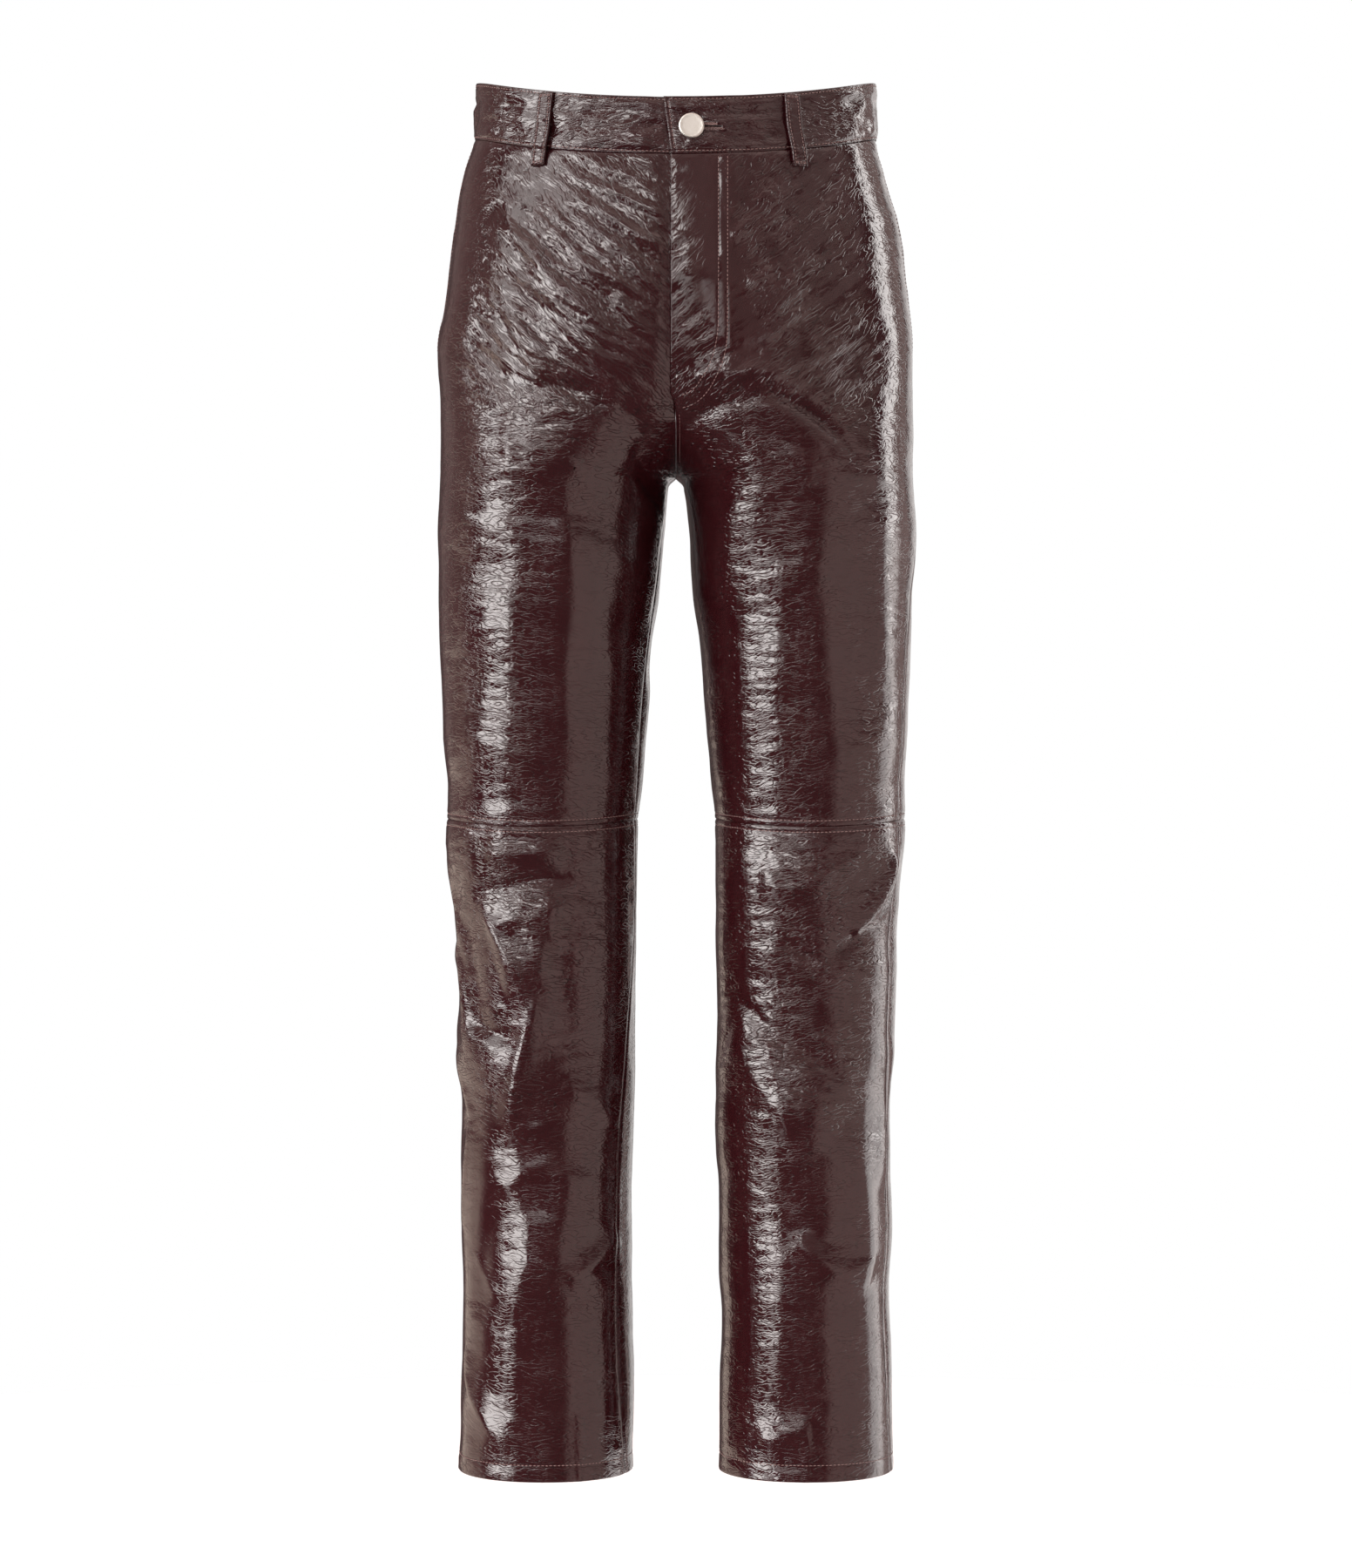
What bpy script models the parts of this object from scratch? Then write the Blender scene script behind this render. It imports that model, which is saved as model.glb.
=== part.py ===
"""Straight-leg trousers in glossy coated cloth, filled out and hollow, as worn.

The frame is the waistband's: the origin is the centre of its ring, the front faces -Y,
the wearer's left is +X and the legs hang down -Z. Each half of the garment is one column
of level sections, round like a squared ellipse. Below the crotch a section is a whole leg,
and above it the section is cut off at the centre line, where the other half meets it.
Every panel is a wall between two grids of points read from that column.
"""

import math
from typing import NamedTuple

import bmesh
import bpy
import numpy as np
from mathutils import Matrix, Vector

MM = 0.001  # the sizes below are millimetres, the model is in metres

# Cloth and seams
CLOTH = 1.5            # coated cloth with its seam allowances pressed flat
BAND_CLOTH = 2.6       # waistband, folded over its stiffening
LOOP_CLOTH = 2.0       # belt loop, folded strip
SEAM_GAP = 0.3         # what lies between two sewn pieces
HEM_TURN = 13.5        # cloth turned up inside each leg
HEM_STEP = 1.5         # height over which that turn ends
SQUARENESS = 2.12      # power of the squared ellipse, 2 is a plain ellipse

# Waistband
WAIST_TOP = 18.5       # its top edge at the sides and the back
WAIST_DIP = 25.5       # how much lower that edge runs at the centre front
WAIST_DIP_POWER = 1.5
BAND_HEIGHT = 42.0
BAND_PROUD = 0.6       # it stands out from the panels below
OVERLAP_TOP = 9.1      # the left end passes the centre line by this at the top
OVERLAP_FOOT = 3.5     # and by this at the waist seam
UNDERLAP = 33.0        # the right end passes the centre line below the left one
OVERLAP_LIFT = 1.4     # the left end rides up over the right one
UNDERLAP_SINK = 1.5    # which sinks by this

# Fly, the left front over the right one
FLY_LAP = 3.6          # the left edge passes the centre line
FLY_UNDER = 2.0        # and so does the right one, below it
FLY_LIFT = 1.3
FLY_SINK = 1.3
FLY_WIDTH = 37.0       # centre line to the outer row of the curved fly stitching
FLY_FOOT = -221.0      # here the two edges begin to come together
FLY_JOINED = -232.0    # here they meet
FLY_FLAT = -243.0      # and here they lie level
SHIELD_BEHIND = 0.9    # the fly shield lies this far behind the left front
SHIELD_CURVE = 34.0    # height of the curve at the foot of the fly shield
SHIELD_NARROW = 0.5    # its width there, as a share of the whole

# Seams across the legs
CROTCH = -275.4
KNEE = -530.0
KNEE_DIP = 5.0         # the knee seam's middle hangs lower in front
HEM = -1016.0

# Side pockets in the side seams
POCKET_FOOT = -180.0
POCKET_LIP = 1.3       # the front edge stands off the facing
POCKET_LIP_WIDTH = 16.0
FACING_CLOTH = 1.0

# Belt loops
LOOP_WIDTH = 12.0
LOOP_RISE = 2.6        # how far the strip stands off the band in its middle
LOOP_SEAT = 0.6        # and off the cloth at its two tacks, clear of the facets below it
LOOP_BELOW = 13.0      # its foot is tacked this far below the waist seam
LOOP_TOP_INSET = 1.2   # its head starts this far below the band's top edge

# Button and buttonhole
BUTTON_ACROSS = 11.0
BUTTON_HEIGHT = -29.0
BUTTON_RADIUS = 9.3
BUTTON_THICK = 2.2
BUTTON_ROUND = 0.7
BUTTON_CLEAR = 0.5     # between its back and the cloth
SHANK_RADIUS = 2.9
HOLE_RADIUS = 3.6
SLIT_WIDTH = 1.4
SLIT_LENGTH = 22.0
ROUND_STEPS = 24

# Grids: cells across a panel, around half a waistband, and the rows down each piece
PANEL_CELLS = 16
ROWS_TO_FLY_FOOT = 8
ROWS_AROUND_CROTCH = 5
ROWS_TO_KNEE = 8
ROWS_TO_HEM = 16
FIRST_CELL = 0.024     # share of a panel's width that its narrow first column takes
DENSE = 97             # samples by which a section's length is measured


class Section(NamedTuple):
    """One level of half the garment, in millimetres from the centre line and the middle plane."""

    height: float
    outer: float   # side of the leg or hip
    inner: float   # inside of the leg, or less than zero where the two halves run together
    front: float
    back: float


SECTIONS = (
    Section(30.0, 148.8, -148.8, -97.0, 100.0),
    Section(-23.0, 150.2, -150.2, -99.5, 103.0),
    Section(-49.0, 156.5, -156.3, -103.0, 107.0),
    Section(-82.0, 163.2, -160.0, -108.0, 112.5),
    Section(-114.0, 168.6, -155.0, -111.5, 118.0),
    Section(-147.0, 173.6, -142.0, -113.5, 122.5),
    Section(-180.0, 177.0, -122.0, -113.5, 125.0),
    Section(-210.0, 176.3, -92.0, -111.5, 124.0),
    Section(-240.0, 176.4, -46.0, -107.5, 120.5),
    Section(-262.0, 176.8, -12.5, -104.5, 117.0),
    Section(CROTCH, 177.1, 0.0, -102.5, 114.0),
    Section(-280.6, 177.2, 5.5, -101.5, 113.0),
    Section(-291.0, 177.6, 7.3, -99.5, 110.5),
    Section(-312.0, 178.3, 9.5, -96.5, 105.0),
    Section(-350.0, 177.1, 13.0, -92.0, 98.0),
    Section(-400.0, 175.8, 17.6, -88.0, 91.0),
    Section(-452.0, 173.4, 22.0, -84.0, 84.0),
    Section(-504.0, 171.8, 25.7, -80.0, 76.0),
    Section(-530.0, 172.0, 27.2, -78.0, 73.0),
    Section(-582.0, 168.0, 28.2, -74.0, 72.0),
    Section(-634.0, 164.8, 29.3, -70.0, 75.0),
    Section(-712.0, 161.9, 30.2, -65.5, 80.0),
    Section(-790.0, 160.9, 31.6, -62.5, 80.0),
    Section(-900.0, 160.6, 33.2, -60.0, 77.5),
    Section(-972.0, 161.5, 32.6, -58.5, 76.5),
    Section(-1030.0, 161.5, 32.2, -58.0, 76.0),
)


class Turn(NamedTuple):
    """How far a leg's two long seams are turned round it at one level, in degrees."""

    height: float
    left: float
    right: float


TURNS = (
    Turn(-260.0, 0.0, 0.0),
    Turn(CROTCH, 0.0, 0.0),
    Turn(-345.0, 11.0, -8.0),
    Turn(-430.0, 22.0, -17.0),
    Turn(-540.0, 24.0, -15.0),
    Turn(-600.0, 27.0, -13.0),
    Turn(-690.0, 28.0, -25.0),
    Turn(-790.0, 23.0, -35.0),
    Turn(-900.0, 27.0, -34.0),
    Turn(-1030.0, 15.0, -22.0),
)


class Fold(NamedTuple):
    """A soft ridge, or trough where its height is negative, between two places on the cloth.

    Places are angles round the column, 0 at the side, 90 in front and -90 behind, and heights.
    The line between them bows sideways by its bow. Width is half the fold's breadth.
    """

    side: str
    from_angle: float
    from_height: float
    to_angle: float
    to_height: float
    bow: float
    width: float
    height: float


FOLDS = (
    # Drag lines from the right hip down to the fly, and the crease where that thigh begins
    Fold("right", 36.0, -88.0, 97.0, -222.0, -5.0, 10.0, 3.0),
    Fold("right", 54.0, -78.0, 92.0, -150.0, 0.0, 11.0, 2.2),
    Fold("right", 39.0, -118.0, 70.0, -212.0, 9.0, 9.0, 2.6),
    Fold("right", 62.0, -212.0, 120.0, -262.0, -8.0, 8.0, -2.8),
    Fold("right", 112.0, -250.0, 166.0, -296.0, 0.0, 8.0, -2.4),
    Fold("right", 76.0, -246.0, 116.0, -420.0, -10.0, 18.0, 2.4),
    # Creases below the right knee
    Fold("right", 58.0, -548.0, 104.0, -550.0, 0.0, 15.0, 2.0),
    Fold("right", 42.0, -588.0, 116.0, -570.0, -3.0, 9.0, 3.2),
    Fold("right", 49.0, -588.0, 84.0, -672.0, 0.0, 9.0, 3.0),
    Fold("right", 80.0, -606.0, 118.0, -622.0, 3.0, 8.0, 2.2),
    Fold("right", 86.0, -662.0, 66.0, -758.0, 0.0, 10.0, 2.6),
    Fold("right", 12.0, -620.0, 32.0, -702.0, 0.0, 9.0, 2.4),
    Fold("right", 24.0, -672.0, 78.0, -690.0, 3.0, 9.0, -2.6),
    Fold("right", 98.0, -724.0, 144.0, -758.0, -6.0, 11.0, 2.2),
    Fold("right", 148.0, -836.0, 104.0, -870.0, 0.0, 10.0, 2.4),
    Fold("right", 90.0, -815.0, 70.0, -900.0, 0.0, 13.0, 2.0),
    Fold("right", 14.0, -925.0, 68.0, -996.0, 0.0, 13.0, 2.0),
    # The arch over the left thigh
    Fold("left", 128.0, -247.0, 82.0, -219.0, 3.0, 8.0, -2.8),
    Fold("left", 85.0, -219.0, 60.0, -276.0, 7.0, 8.0, -3.0),
    Fold("left", 102.0, -212.0, 72.0, -208.0, 3.0, 9.0, 2.2),
    Fold("left", 92.0, -252.0, 150.0, -362.0, 0.0, 20.0, 2.4),
    Fold("left", 88.0, -300.0, 98.0, -440.0, 0.0, 20.0, 1.6),
    # Creases below the left knee
    Fold("left", 114.0, -556.0, 60.0, -558.0, -9.0, 8.0, 2.6),
    Fold("left", 106.0, -618.0, 82.0, -634.0, -2.0, 8.0, -2.2),
    Fold("left", 84.0, -634.0, 44.0, -602.0, -3.0, 9.0, -2.6),
    Fold("left", 24.0, -548.0, 62.0, -616.0, 5.0, 9.0, 3.2),
    Fold("left", 152.0, -656.0, 64.0, -732.0, 0.0, 20.0, 3.0),
    Fold("left", 16.0, -690.0, 30.0, -806.0, 0.0, 12.0, 2.0),
    Fold("left", 100.0, -836.0, 42.0, -868.0, -6.0, 10.0, 2.2),
    Fold("left", 124.0, -986.0, 90.0, -974.0, -3.0, 9.0, 1.8),
    # Below the seat and behind the knees
    Fold("right", -138.0, -276.0, -42.0, -262.0, -8.0, 13.0, -3.2),
    Fold("right", -120.0, -322.0, -58.0, -300.0, -5.0, 13.0, 2.2),
    Fold("right", -148.0, -486.0, -44.0, -502.0, 6.0, 11.0, -3.2),
    Fold("right", -128.0, -556.0, -28.0, -540.0, -5.0, 10.0, 3.0),
    Fold("right", -112.0, -588.0, -20.0, -622.0, 4.0, 10.0, -2.8),
    Fold("right", -150.0, -636.0, -76.0, -676.0, 0.0, 12.0, 2.4),
    Fold("right", -58.0, -770.0, -96.0, -868.0, 0.0, 14.0, 2.2),
    Fold("left", -132.0, -268.0, -50.0, -272.0, -9.0, 13.0, -3.0),
    Fold("left", -112.0, -316.0, -46.0, -306.0, -5.0, 13.0, 2.0),
    Fold("left", -142.0, -498.0, -56.0, -486.0, 6.0, 11.0, -3.0),
    Fold("left", -136.0, -548.0, -36.0, -560.0, -5.0, 10.0, 3.0),
    Fold("left", -104.0, -604.0, -14.0, -592.0, 4.0, 10.0, -2.6),
    Fold("left", -140.0, -662.0, -62.0, -640.0, 0.0, 12.0, 2.2),
    Fold("left", -110.0, -790.0, -66.0, -880.0, 0.0, 14.0, 2.2),
)

SIDES = {"left": 1.0, "right": -1.0}
FACES = {"front": 1.0, "back": -1.0}


class Loop(NamedTuple):
    """A belt loop's place: its half, how far round it lies, and how far its foot leans outwards."""

    name: str
    side: str
    angle: float
    lean: float


LOOPS = (
    Loop("belt_loop_front_right", "right", 52.5, 2.0),
    Loop("belt_loop_front_left", "left", 57.5, 1.5),
    Loop("belt_loop_back_right", "right", -38.0, 0.0),
    Loop("belt_loop_back_left", "left", -38.0, 0.0),
    Loop("belt_loop_back_centre", "left", -90.0, 0.0),
)


class Finish(NamedTuple):
    """A plain surface: linear colour, roughness and metallic value."""

    colour: tuple[float, float, float]
    roughness: float
    metallic: float


COATED_CLOTH = Finish((0.050, 0.014, 0.016), 0.16, 0.0)
CLOTH_INSIDE = Finish((0.060, 0.030, 0.030), 0.80, 0.0)
NICKEL = Finish((0.78, 0.76, 0.72), 0.22, 1.0)


def smooth_read(heights, values, wanted):
    """Read a table at the wanted heights with a curve that never overshoots its rows.

    Each span is a cubic whose end slopes are the weighted harmonic means of the slopes of
    the spans on either side, or zero where those differ in sign.
    """
    order = np.argsort(heights)
    x = np.asarray(heights, float)[order]
    y = np.asarray(values, float)[order]
    step = np.diff(x)
    slope = np.diff(y) / step
    before, after = slope[:-1], slope[1:]
    weight_before = 2.0 * step[1:] + step[:-1]
    weight_after = step[1:] + 2.0 * step[:-1]
    same = before * after > 0.0
    safe_before = np.where(same, before, 1.0)
    safe_after = np.where(same, after, 1.0)
    mean = (weight_before + weight_after) / (weight_before / safe_before + weight_after / safe_after)
    tangent = np.concatenate(([slope[0]], np.where(same, mean, 0.0), [slope[-1]]))
    z = np.clip(np.asarray(wanted, float), x[0], x[-1])
    span = np.clip(np.searchsorted(x, z, side="right") - 1, 0, len(step) - 1)
    t = (z - x[span]) / step[span]
    return (
        y[span] * (1.0 + 2.0 * t) * (1.0 - t) ** 2
        + y[span + 1] * t ** 2 * (3.0 - 2.0 * t)
        + step[span] * (tangent[span] * t * (1.0 - t) ** 2 - tangent[span + 1] * t ** 2 * (1.0 - t))
    )


def fade(value, low, high):
    """Rise smoothly from 0 at low to 1 at high, whichever of the two is larger."""
    t = np.clip((np.asarray(value, float) - low) / (high - low), 0.0, 1.0)
    return t * t * (3.0 - 2.0 * t)


def ellipse_at(heights):
    """Return the middle and the half sizes of the section at each height."""
    table = {name: [getattr(row, name) for row in SECTIONS] for name in Section._fields}
    outer, inner, front, back = (
        smooth_read(table["height"], table[name], heights) for name in ("outer", "inner", "front", "back")
    )
    return (outer + inner) / 2.0, (front + back) / 2.0, (outer - inner) / 2.0, (back - front) / 2.0


def turn_at(side, heights):
    """Return how many degrees that side's leg seams are turned at each height."""
    return smooth_read([row.height for row in TURNS], [getattr(row, side) for row in TURNS], heights)


def plan(angles, heights):
    """Return x, y of the bare column and its level outward normal, for angles in degrees.

    Cloth that laps past the centre line in front lies on the other half, so it mirrors it.
    """
    middle_x, middle_y, half_x, half_y = ellipse_at(heights)
    power = 2.0 / SQUARENESS
    cosine = np.cos(np.radians(angles))
    x = middle_x + half_x * np.sign(cosine) * np.abs(cosine) ** power
    lapped = (x < 0.0) & (np.asarray(angles) > 0.0)
    turned = np.radians(np.where(lapped, angle_of(np.abs(x), heights), angles))
    cosine, sine = np.cos(turned), np.sin(turned)
    y = middle_y - half_y * np.sign(sine) * np.abs(sine) ** power
    normal_x = np.sign(cosine) * np.abs(cosine) ** (2.0 - power) / half_x
    normal_y = -np.sign(sine) * np.abs(sine) ** (2.0 - power) / half_y
    length = np.hypot(normal_x, normal_y)
    return x, y, np.where(lapped, -1.0, 1.0) * normal_x / length, normal_y / length


def angle_of(across, heights):
    """Return the front angle at which the column stands at a distance from the centre line."""
    middle_x, _, half_x, _ = ellipse_at(heights)
    ratio = np.clip((across - middle_x) / half_x, -1.0, 1.0)
    return np.degrees(np.arccos(np.sign(ratio) * np.abs(ratio) ** (SQUARENESS / 2.0)))


def fold_height(side, angles, heights):
    """Add up the soft ridges and troughs of one half, still at the centre seams above the crotch."""
    _, _, half_x, half_y = ellipse_at(heights)
    radius = (half_x + half_y) / 2.0
    total = np.zeros(np.broadcast(angles, heights).shape)
    for fold in FOLDS:
        if fold.side != side:
            continue
        run_angle = np.radians(fold.to_angle - fold.from_angle) * radius
        run_height = fold.to_height - fold.from_height
        turned = (angles - fold.from_angle + 180.0) % 360.0 - 180.0
        off_angle = np.radians(turned) * radius
        off_height = heights - fold.from_height
        length = np.hypot(run_angle, run_height)
        along = (off_angle * run_angle + off_height * run_height) / length ** 2
        across = (off_angle * run_height - off_height * run_angle) / length
        inside = np.clip(along, 0.0, 1.0)
        across = across - fold.bow * 4.0 * inside * (1.0 - inside)
        beyond = (along - inside) * length
        ends = 1.0 - (2.0 * inside - 1.0) ** 4
        total = total + fold.height * ends * np.exp(-(across ** 2 + beyond ** 2) / fold.width ** 2)
    x = plan(angles, heights)[0]
    still = fade(np.abs(x), 0.0, 14.0)
    return total * np.where(np.asarray(heights) > CROTCH - 8.0, still, 1.0)


def surface(side, angles, heights, offset=0.0):
    """Return the points of one half's cloth, moved out by an offset, as an array of x, y, z."""
    x, y, normal_x, normal_y = plan(angles, heights)
    out = fold_height(side, angles, heights) + offset
    return np.stack((SIDES[side] * (x + normal_x * out), y + normal_y * out, np.broadcast_to(heights, x.shape)), -1)


def waist_top(angles):
    """Height of the waistband's top edge, lowest at the centre front."""
    return WAIST_TOP - WAIST_DIP * np.maximum(0.0, np.sin(np.radians(angles))) ** WAIST_DIP_POWER


def waist_seam(angles):
    """Height of the seam below the waistband."""
    return waist_top(angles) - BAND_HEIGHT


def knee_seam(angles):
    """Height of the seam across the knee, which hangs a little in front."""
    return KNEE - KNEE_DIP * np.maximum(0.0, np.sin(np.radians(angles))) ** 2


def hem_line(angles):
    """Height of the level hem."""
    return np.full(np.shape(angles), HEM)


def centre_cut(side, face, heights):
    """Return how far from the centre line a panel of one half ends, negative past that line."""
    if face == "back":
        return np.zeros(np.shape(heights))
    lap = FLY_LAP if side == "left" else FLY_UNDER
    return -lap * fade(heights, FLY_JOINED, FLY_FOOT)


def first_angle(side, face, heights):
    """Return the angle at which a panel starts, at the centre line or at the inside leg seam."""
    return FACES[face] * angle_of(centre_cut(side, face, heights), heights) + turn_at(side, heights)


def spread(first, last, heights, shares):
    """Return angles at even shares of the cloth's length, just inside the two seams."""
    steps = np.linspace(0.0, 1.0, DENSE)
    dense = first[..., None] + (last - first)[..., None] * steps
    x, y, _, _ = plan(dense, np.broadcast_to(np.asarray(heights, float)[..., None], dense.shape))
    pieces = np.hypot(np.diff(x, axis=-1), np.diff(y, axis=-1))
    run = np.concatenate((np.zeros(pieces.shape[:-1] + (1,)), np.cumsum(pieces, axis=-1)), axis=-1)
    whole = run[..., -1]
    target = SEAM_GAP / 2.0 + shares * (whole - SEAM_GAP)
    place = np.clip((run < target[..., None]).sum(axis=-1) - 1, 0, DENSE - 2)
    low = np.take_along_axis(run, place[..., None], axis=-1)[..., 0]
    high = np.take_along_axis(run, place[..., None] + 1, axis=-1)[..., 0]
    share = (place + (target - low) / (high - low)) / (DENSE - 1)
    return first + (last - first) * share


def panel_angles(side, face, heights, shares):
    """Return a leg panel's angles: share 0 is its centre or inside seam and 1 its side seam."""
    heights = np.asarray(heights, float)
    return spread(first_angle(side, face, heights), turn_at(side, heights), heights, shares)


def on_line(side, face, line, shares):
    """Return the heights of a panel's edge that follows a line given by angle."""
    heights = line(np.full(np.shape(shares), 90.0 * FACES[face]))
    for _ in range(4):
        heights = line(panel_angles(side, face, heights, shares))
    return heights


def column_shares():
    """Return where a panel's columns lie across it, the first cell narrow for the laps."""
    return np.concatenate(([0.0], np.linspace(FIRST_CELL, 1.0, PANEL_CELLS)))


def crotch_rows():
    """Return heights down to the crotch at which the centre seam turns by even angles."""
    heights = np.linspace(FLY_FLAT, CROTCH, 200)
    turned = angle_of(np.zeros(heights.shape), heights)
    wanted = np.linspace(turned[0], 180.0, ROWS_AROUND_CROTCH + 1)
    return np.interp(wanted, turned, heights)[1:]


def thigh_grid(side, face):
    """Return angles and heights of an upper panel, its rows close together at the crotch."""
    shares = column_shares()
    top = on_line(side, face, waist_seam, shares) - SEAM_GAP / 2.0
    foot = on_line(side, face, knee_seam, shares) + SEAM_GAP / 2.0
    below = CROTCH - np.array((5.2, 16.0))
    centre_rows = np.concatenate((
        np.linspace(top[0], FLY_FOOT, ROWS_TO_FLY_FOOT + 1),
        (FLY_JOINED, FLY_FLAT),
        crotch_rows(),
        below,
        np.linspace(below[-1], foot[0], ROWS_TO_KNEE + 1)[1:],
    ))
    down = np.linspace(0.0, 1.0, len(centre_rows))[:, None]
    down_centre = ((top[0] - centre_rows) / (top[0] - foot[0]))[:, None]
    heights = top + (foot - top) * (down_centre + (down - down_centre) * shares)
    return panel_angles(side, face, heights, np.broadcast_to(shares, heights.shape)), heights


def shin_grid(side, face):
    """Return angles and heights of a lower panel, with two close rows where the hem turn ends."""
    shares = column_shares()
    top = on_line(side, face, knee_seam, shares) - SEAM_GAP / 2.0
    foot = on_line(side, face, hem_line, shares)
    down = np.linspace(0.0, 1.0, ROWS_TO_HEM + 1)[:-1, None]
    turn_top = foot + HEM_TURN + HEM_STEP
    heights = np.concatenate((top + (turn_top - top) * down, [turn_top, foot + HEM_TURN, foot]))
    return panel_angles(side, face, heights, np.broadcast_to(shares, heights.shape)), heights


def fly_offset(side, angles, heights):
    """Return how far a front panel rides up over the other one, or sinks below it, at the fly."""
    x = plan(angles, heights)[0]
    down = fade(heights, FLY_FLAT, FLY_JOINED)
    if side == "left":
        return FLY_LIFT * down * fade(x, FLY_WIDTH + 12.0, FLY_WIDTH)
    return -FLY_SINK * down * fade(x, 16.0, 6.0)


def lip_offset(side, angles, heights):
    """Return how far the front edge of a side pocket stands off, most in its middle."""
    _, _, half_x, half_y = ellipse_at(heights)
    from_seam = np.radians(angles - turn_at(side, heights)) * (half_x + half_y) / 2.0
    top = waist_seam(angles)
    down = np.clip((top - heights) / (top - POCKET_FOOT), 0.0, 1.0)
    return POCKET_LIP * np.sin(math.pi * down) * fade(from_seam, POCKET_LIP_WIDTH, 0.0)


def wall(name, outer, inner, finish):
    """Make a closed wall between an outer and an inner grid of points, rims included."""
    rows, columns = outer.shape[:2]
    count = rows * columns
    index = np.arange(count).reshape(rows, columns)
    rim = np.concatenate((index[0, :-1], index[:-1, -1], index[-1, :0:-1], index[:0:-1, 0]))
    mesh = bmesh.new()
    points = [mesh.verts.new(point * MM) for point in np.concatenate((outer.reshape(-1, 3), inner.reshape(-1, 3)))]
    for row in range(rows - 1):
        for column in range(columns - 1):
            corners = (index[row, column], index[row + 1, column], index[row + 1, column + 1], index[row, column + 1])
            mesh.faces.new([points[corner] for corner in corners])
            mesh.faces.new([points[corner + count] for corner in reversed(corners)])
    for here, there in zip(rim, np.roll(rim, -1)):
        mesh.faces.new((points[here], points[there], points[there + count], points[here + count]))
    return add_object(name, mesh, finish)


def add_object(name, mesh, finish):
    """Turn a bmesh into a named object with its faces outwards and a material of its own."""
    bmesh.ops.recalc_face_normals(mesh, faces=mesh.faces)
    data = bpy.data.meshes.new(name)
    mesh.to_mesh(data)
    mesh.free()
    data.shade_smooth()
    data.set_sharp_from_angle(angle=math.radians(40.0))
    item = bpy.data.objects.new(name, data)
    bpy.context.collection.objects.link(item)
    material = bpy.data.materials.new(name)
    material.use_nodes = True
    shader = material.node_tree.nodes["Principled BSDF"]
    shader.inputs["Base Color"].default_value = (*finish.colour, 1.0)
    shader.inputs["Roughness"].default_value = finish.roughness
    shader.inputs["Metallic"].default_value = finish.metallic
    data.materials.append(material)
    return item


def add_leg_panels():
    """Make the eight leg panels: front and back, above and below the knee, on each side."""
    for side in SIDES:
        for face in FACES:
            angles, heights = thigh_grid(side, face)
            offset = np.zeros(angles.shape)
            if face == "front":
                offset = fly_offset(side, angles, heights) + lip_offset(side, angles, heights)
            outer = surface(side, angles, heights, offset)
            inner = surface(side, angles, heights, offset - CLOTH)
            wall(f"{face}_thigh_{side}", outer, inner, COATED_CLOTH)

            angles, heights = shin_grid(side, face)
            thickness = np.full(angles.shape, CLOTH)
            thickness[-2:] = 2.0 * CLOTH
            outer = surface(side, angles, heights)
            inner = surface(side, angles, heights, -thickness)
            wall(f"{face}_shin_{side}", outer, inner, COATED_CLOTH)


def band_offset(side, angles, heights):
    """Return how far the waistband stands out, with its two ends one over the other."""
    x = plan(angles, heights)[0]
    front = np.sin(np.radians(angles)) > 0.0
    if side == "left":
        lap = OVERLAP_LIFT * fade(x, UNDERLAP + 18.0, UNDERLAP + 2.0)
    else:
        lap = -UNDERLAP_SINK * fade(x, OVERLAP_TOP + 16.0, OVERLAP_TOP + 2.0)
    return BAND_PROUD + np.where(front, lap, 0.0)


def add_waistband(side):
    """Make half of the waistband, from its end at the front round to the seam at the back."""
    shares = np.linspace(0.0, 1.0, 2 * PANEL_CELLS + 1)
    rise = np.array((0.0, 0.5, 1.0))[:, None]
    heights = np.zeros((len(rise), len(shares)))
    for _ in range(4):
        if side == "left":
            end = -(OVERLAP_FOOT + (OVERLAP_TOP - OVERLAP_FOOT) * rise)
        else:
            end = np.full(rise.shape, -UNDERLAP)
        first = angle_of(np.broadcast_to(end, heights.shape), heights)
        last = np.full(heights.shape, -90.0)
        angles = spread(first, last, heights, np.broadcast_to(shares, heights.shape))
        heights = waist_seam(angles) + SEAM_GAP / 2.0 + (BAND_HEIGHT - SEAM_GAP / 2.0) * rise
    offset = band_offset(side, angles, heights)
    outer = surface(side, angles, heights, offset)
    inner = surface(side, angles, heights, offset - BAND_CLOTH)
    return wall(f"waistband_{side}", outer, inner, COATED_CLOTH)


def across_rows(points, across):
    """Read each row of a grid of points at the wanted distances from the centre line."""
    return np.array([
        [[x, np.interp(x, row[:, 0], row[:, 1]), np.interp(x, row[:, 0], row[:, 2])] for x in wanted]
        for row, wanted in zip(points, across)
    ])


def add_fly_shield():
    """Make the strip below the left front from its points, curved in at its foot like the stitching."""
    rows = ROWS_TO_FLY_FOOT + 1
    angles, heights = (grid[:rows] for grid in thigh_grid("left", "front"))
    curve = fade(heights[:, :1], FLY_FOOT + SHIELD_CURVE, FLY_FOOT)
    width = (FLY_WIDTH - 2.0) * (1.0 - (1.0 - SHIELD_NARROW) * curve)
    start = FLY_UNDER + 2.0 * SEAM_GAP
    across = start + (width - start) * np.linspace(0.0, 1.0, 5)
    offset = fly_offset("left", angles, heights) - CLOTH - SHIELD_BEHIND
    outer = across_rows(surface("left", angles, heights, offset), across)
    inner = across_rows(surface("left", angles, heights, offset - FACING_CLOTH), across)
    wall("fly_shield", outer, inner, CLOTH_INSIDE)


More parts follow.
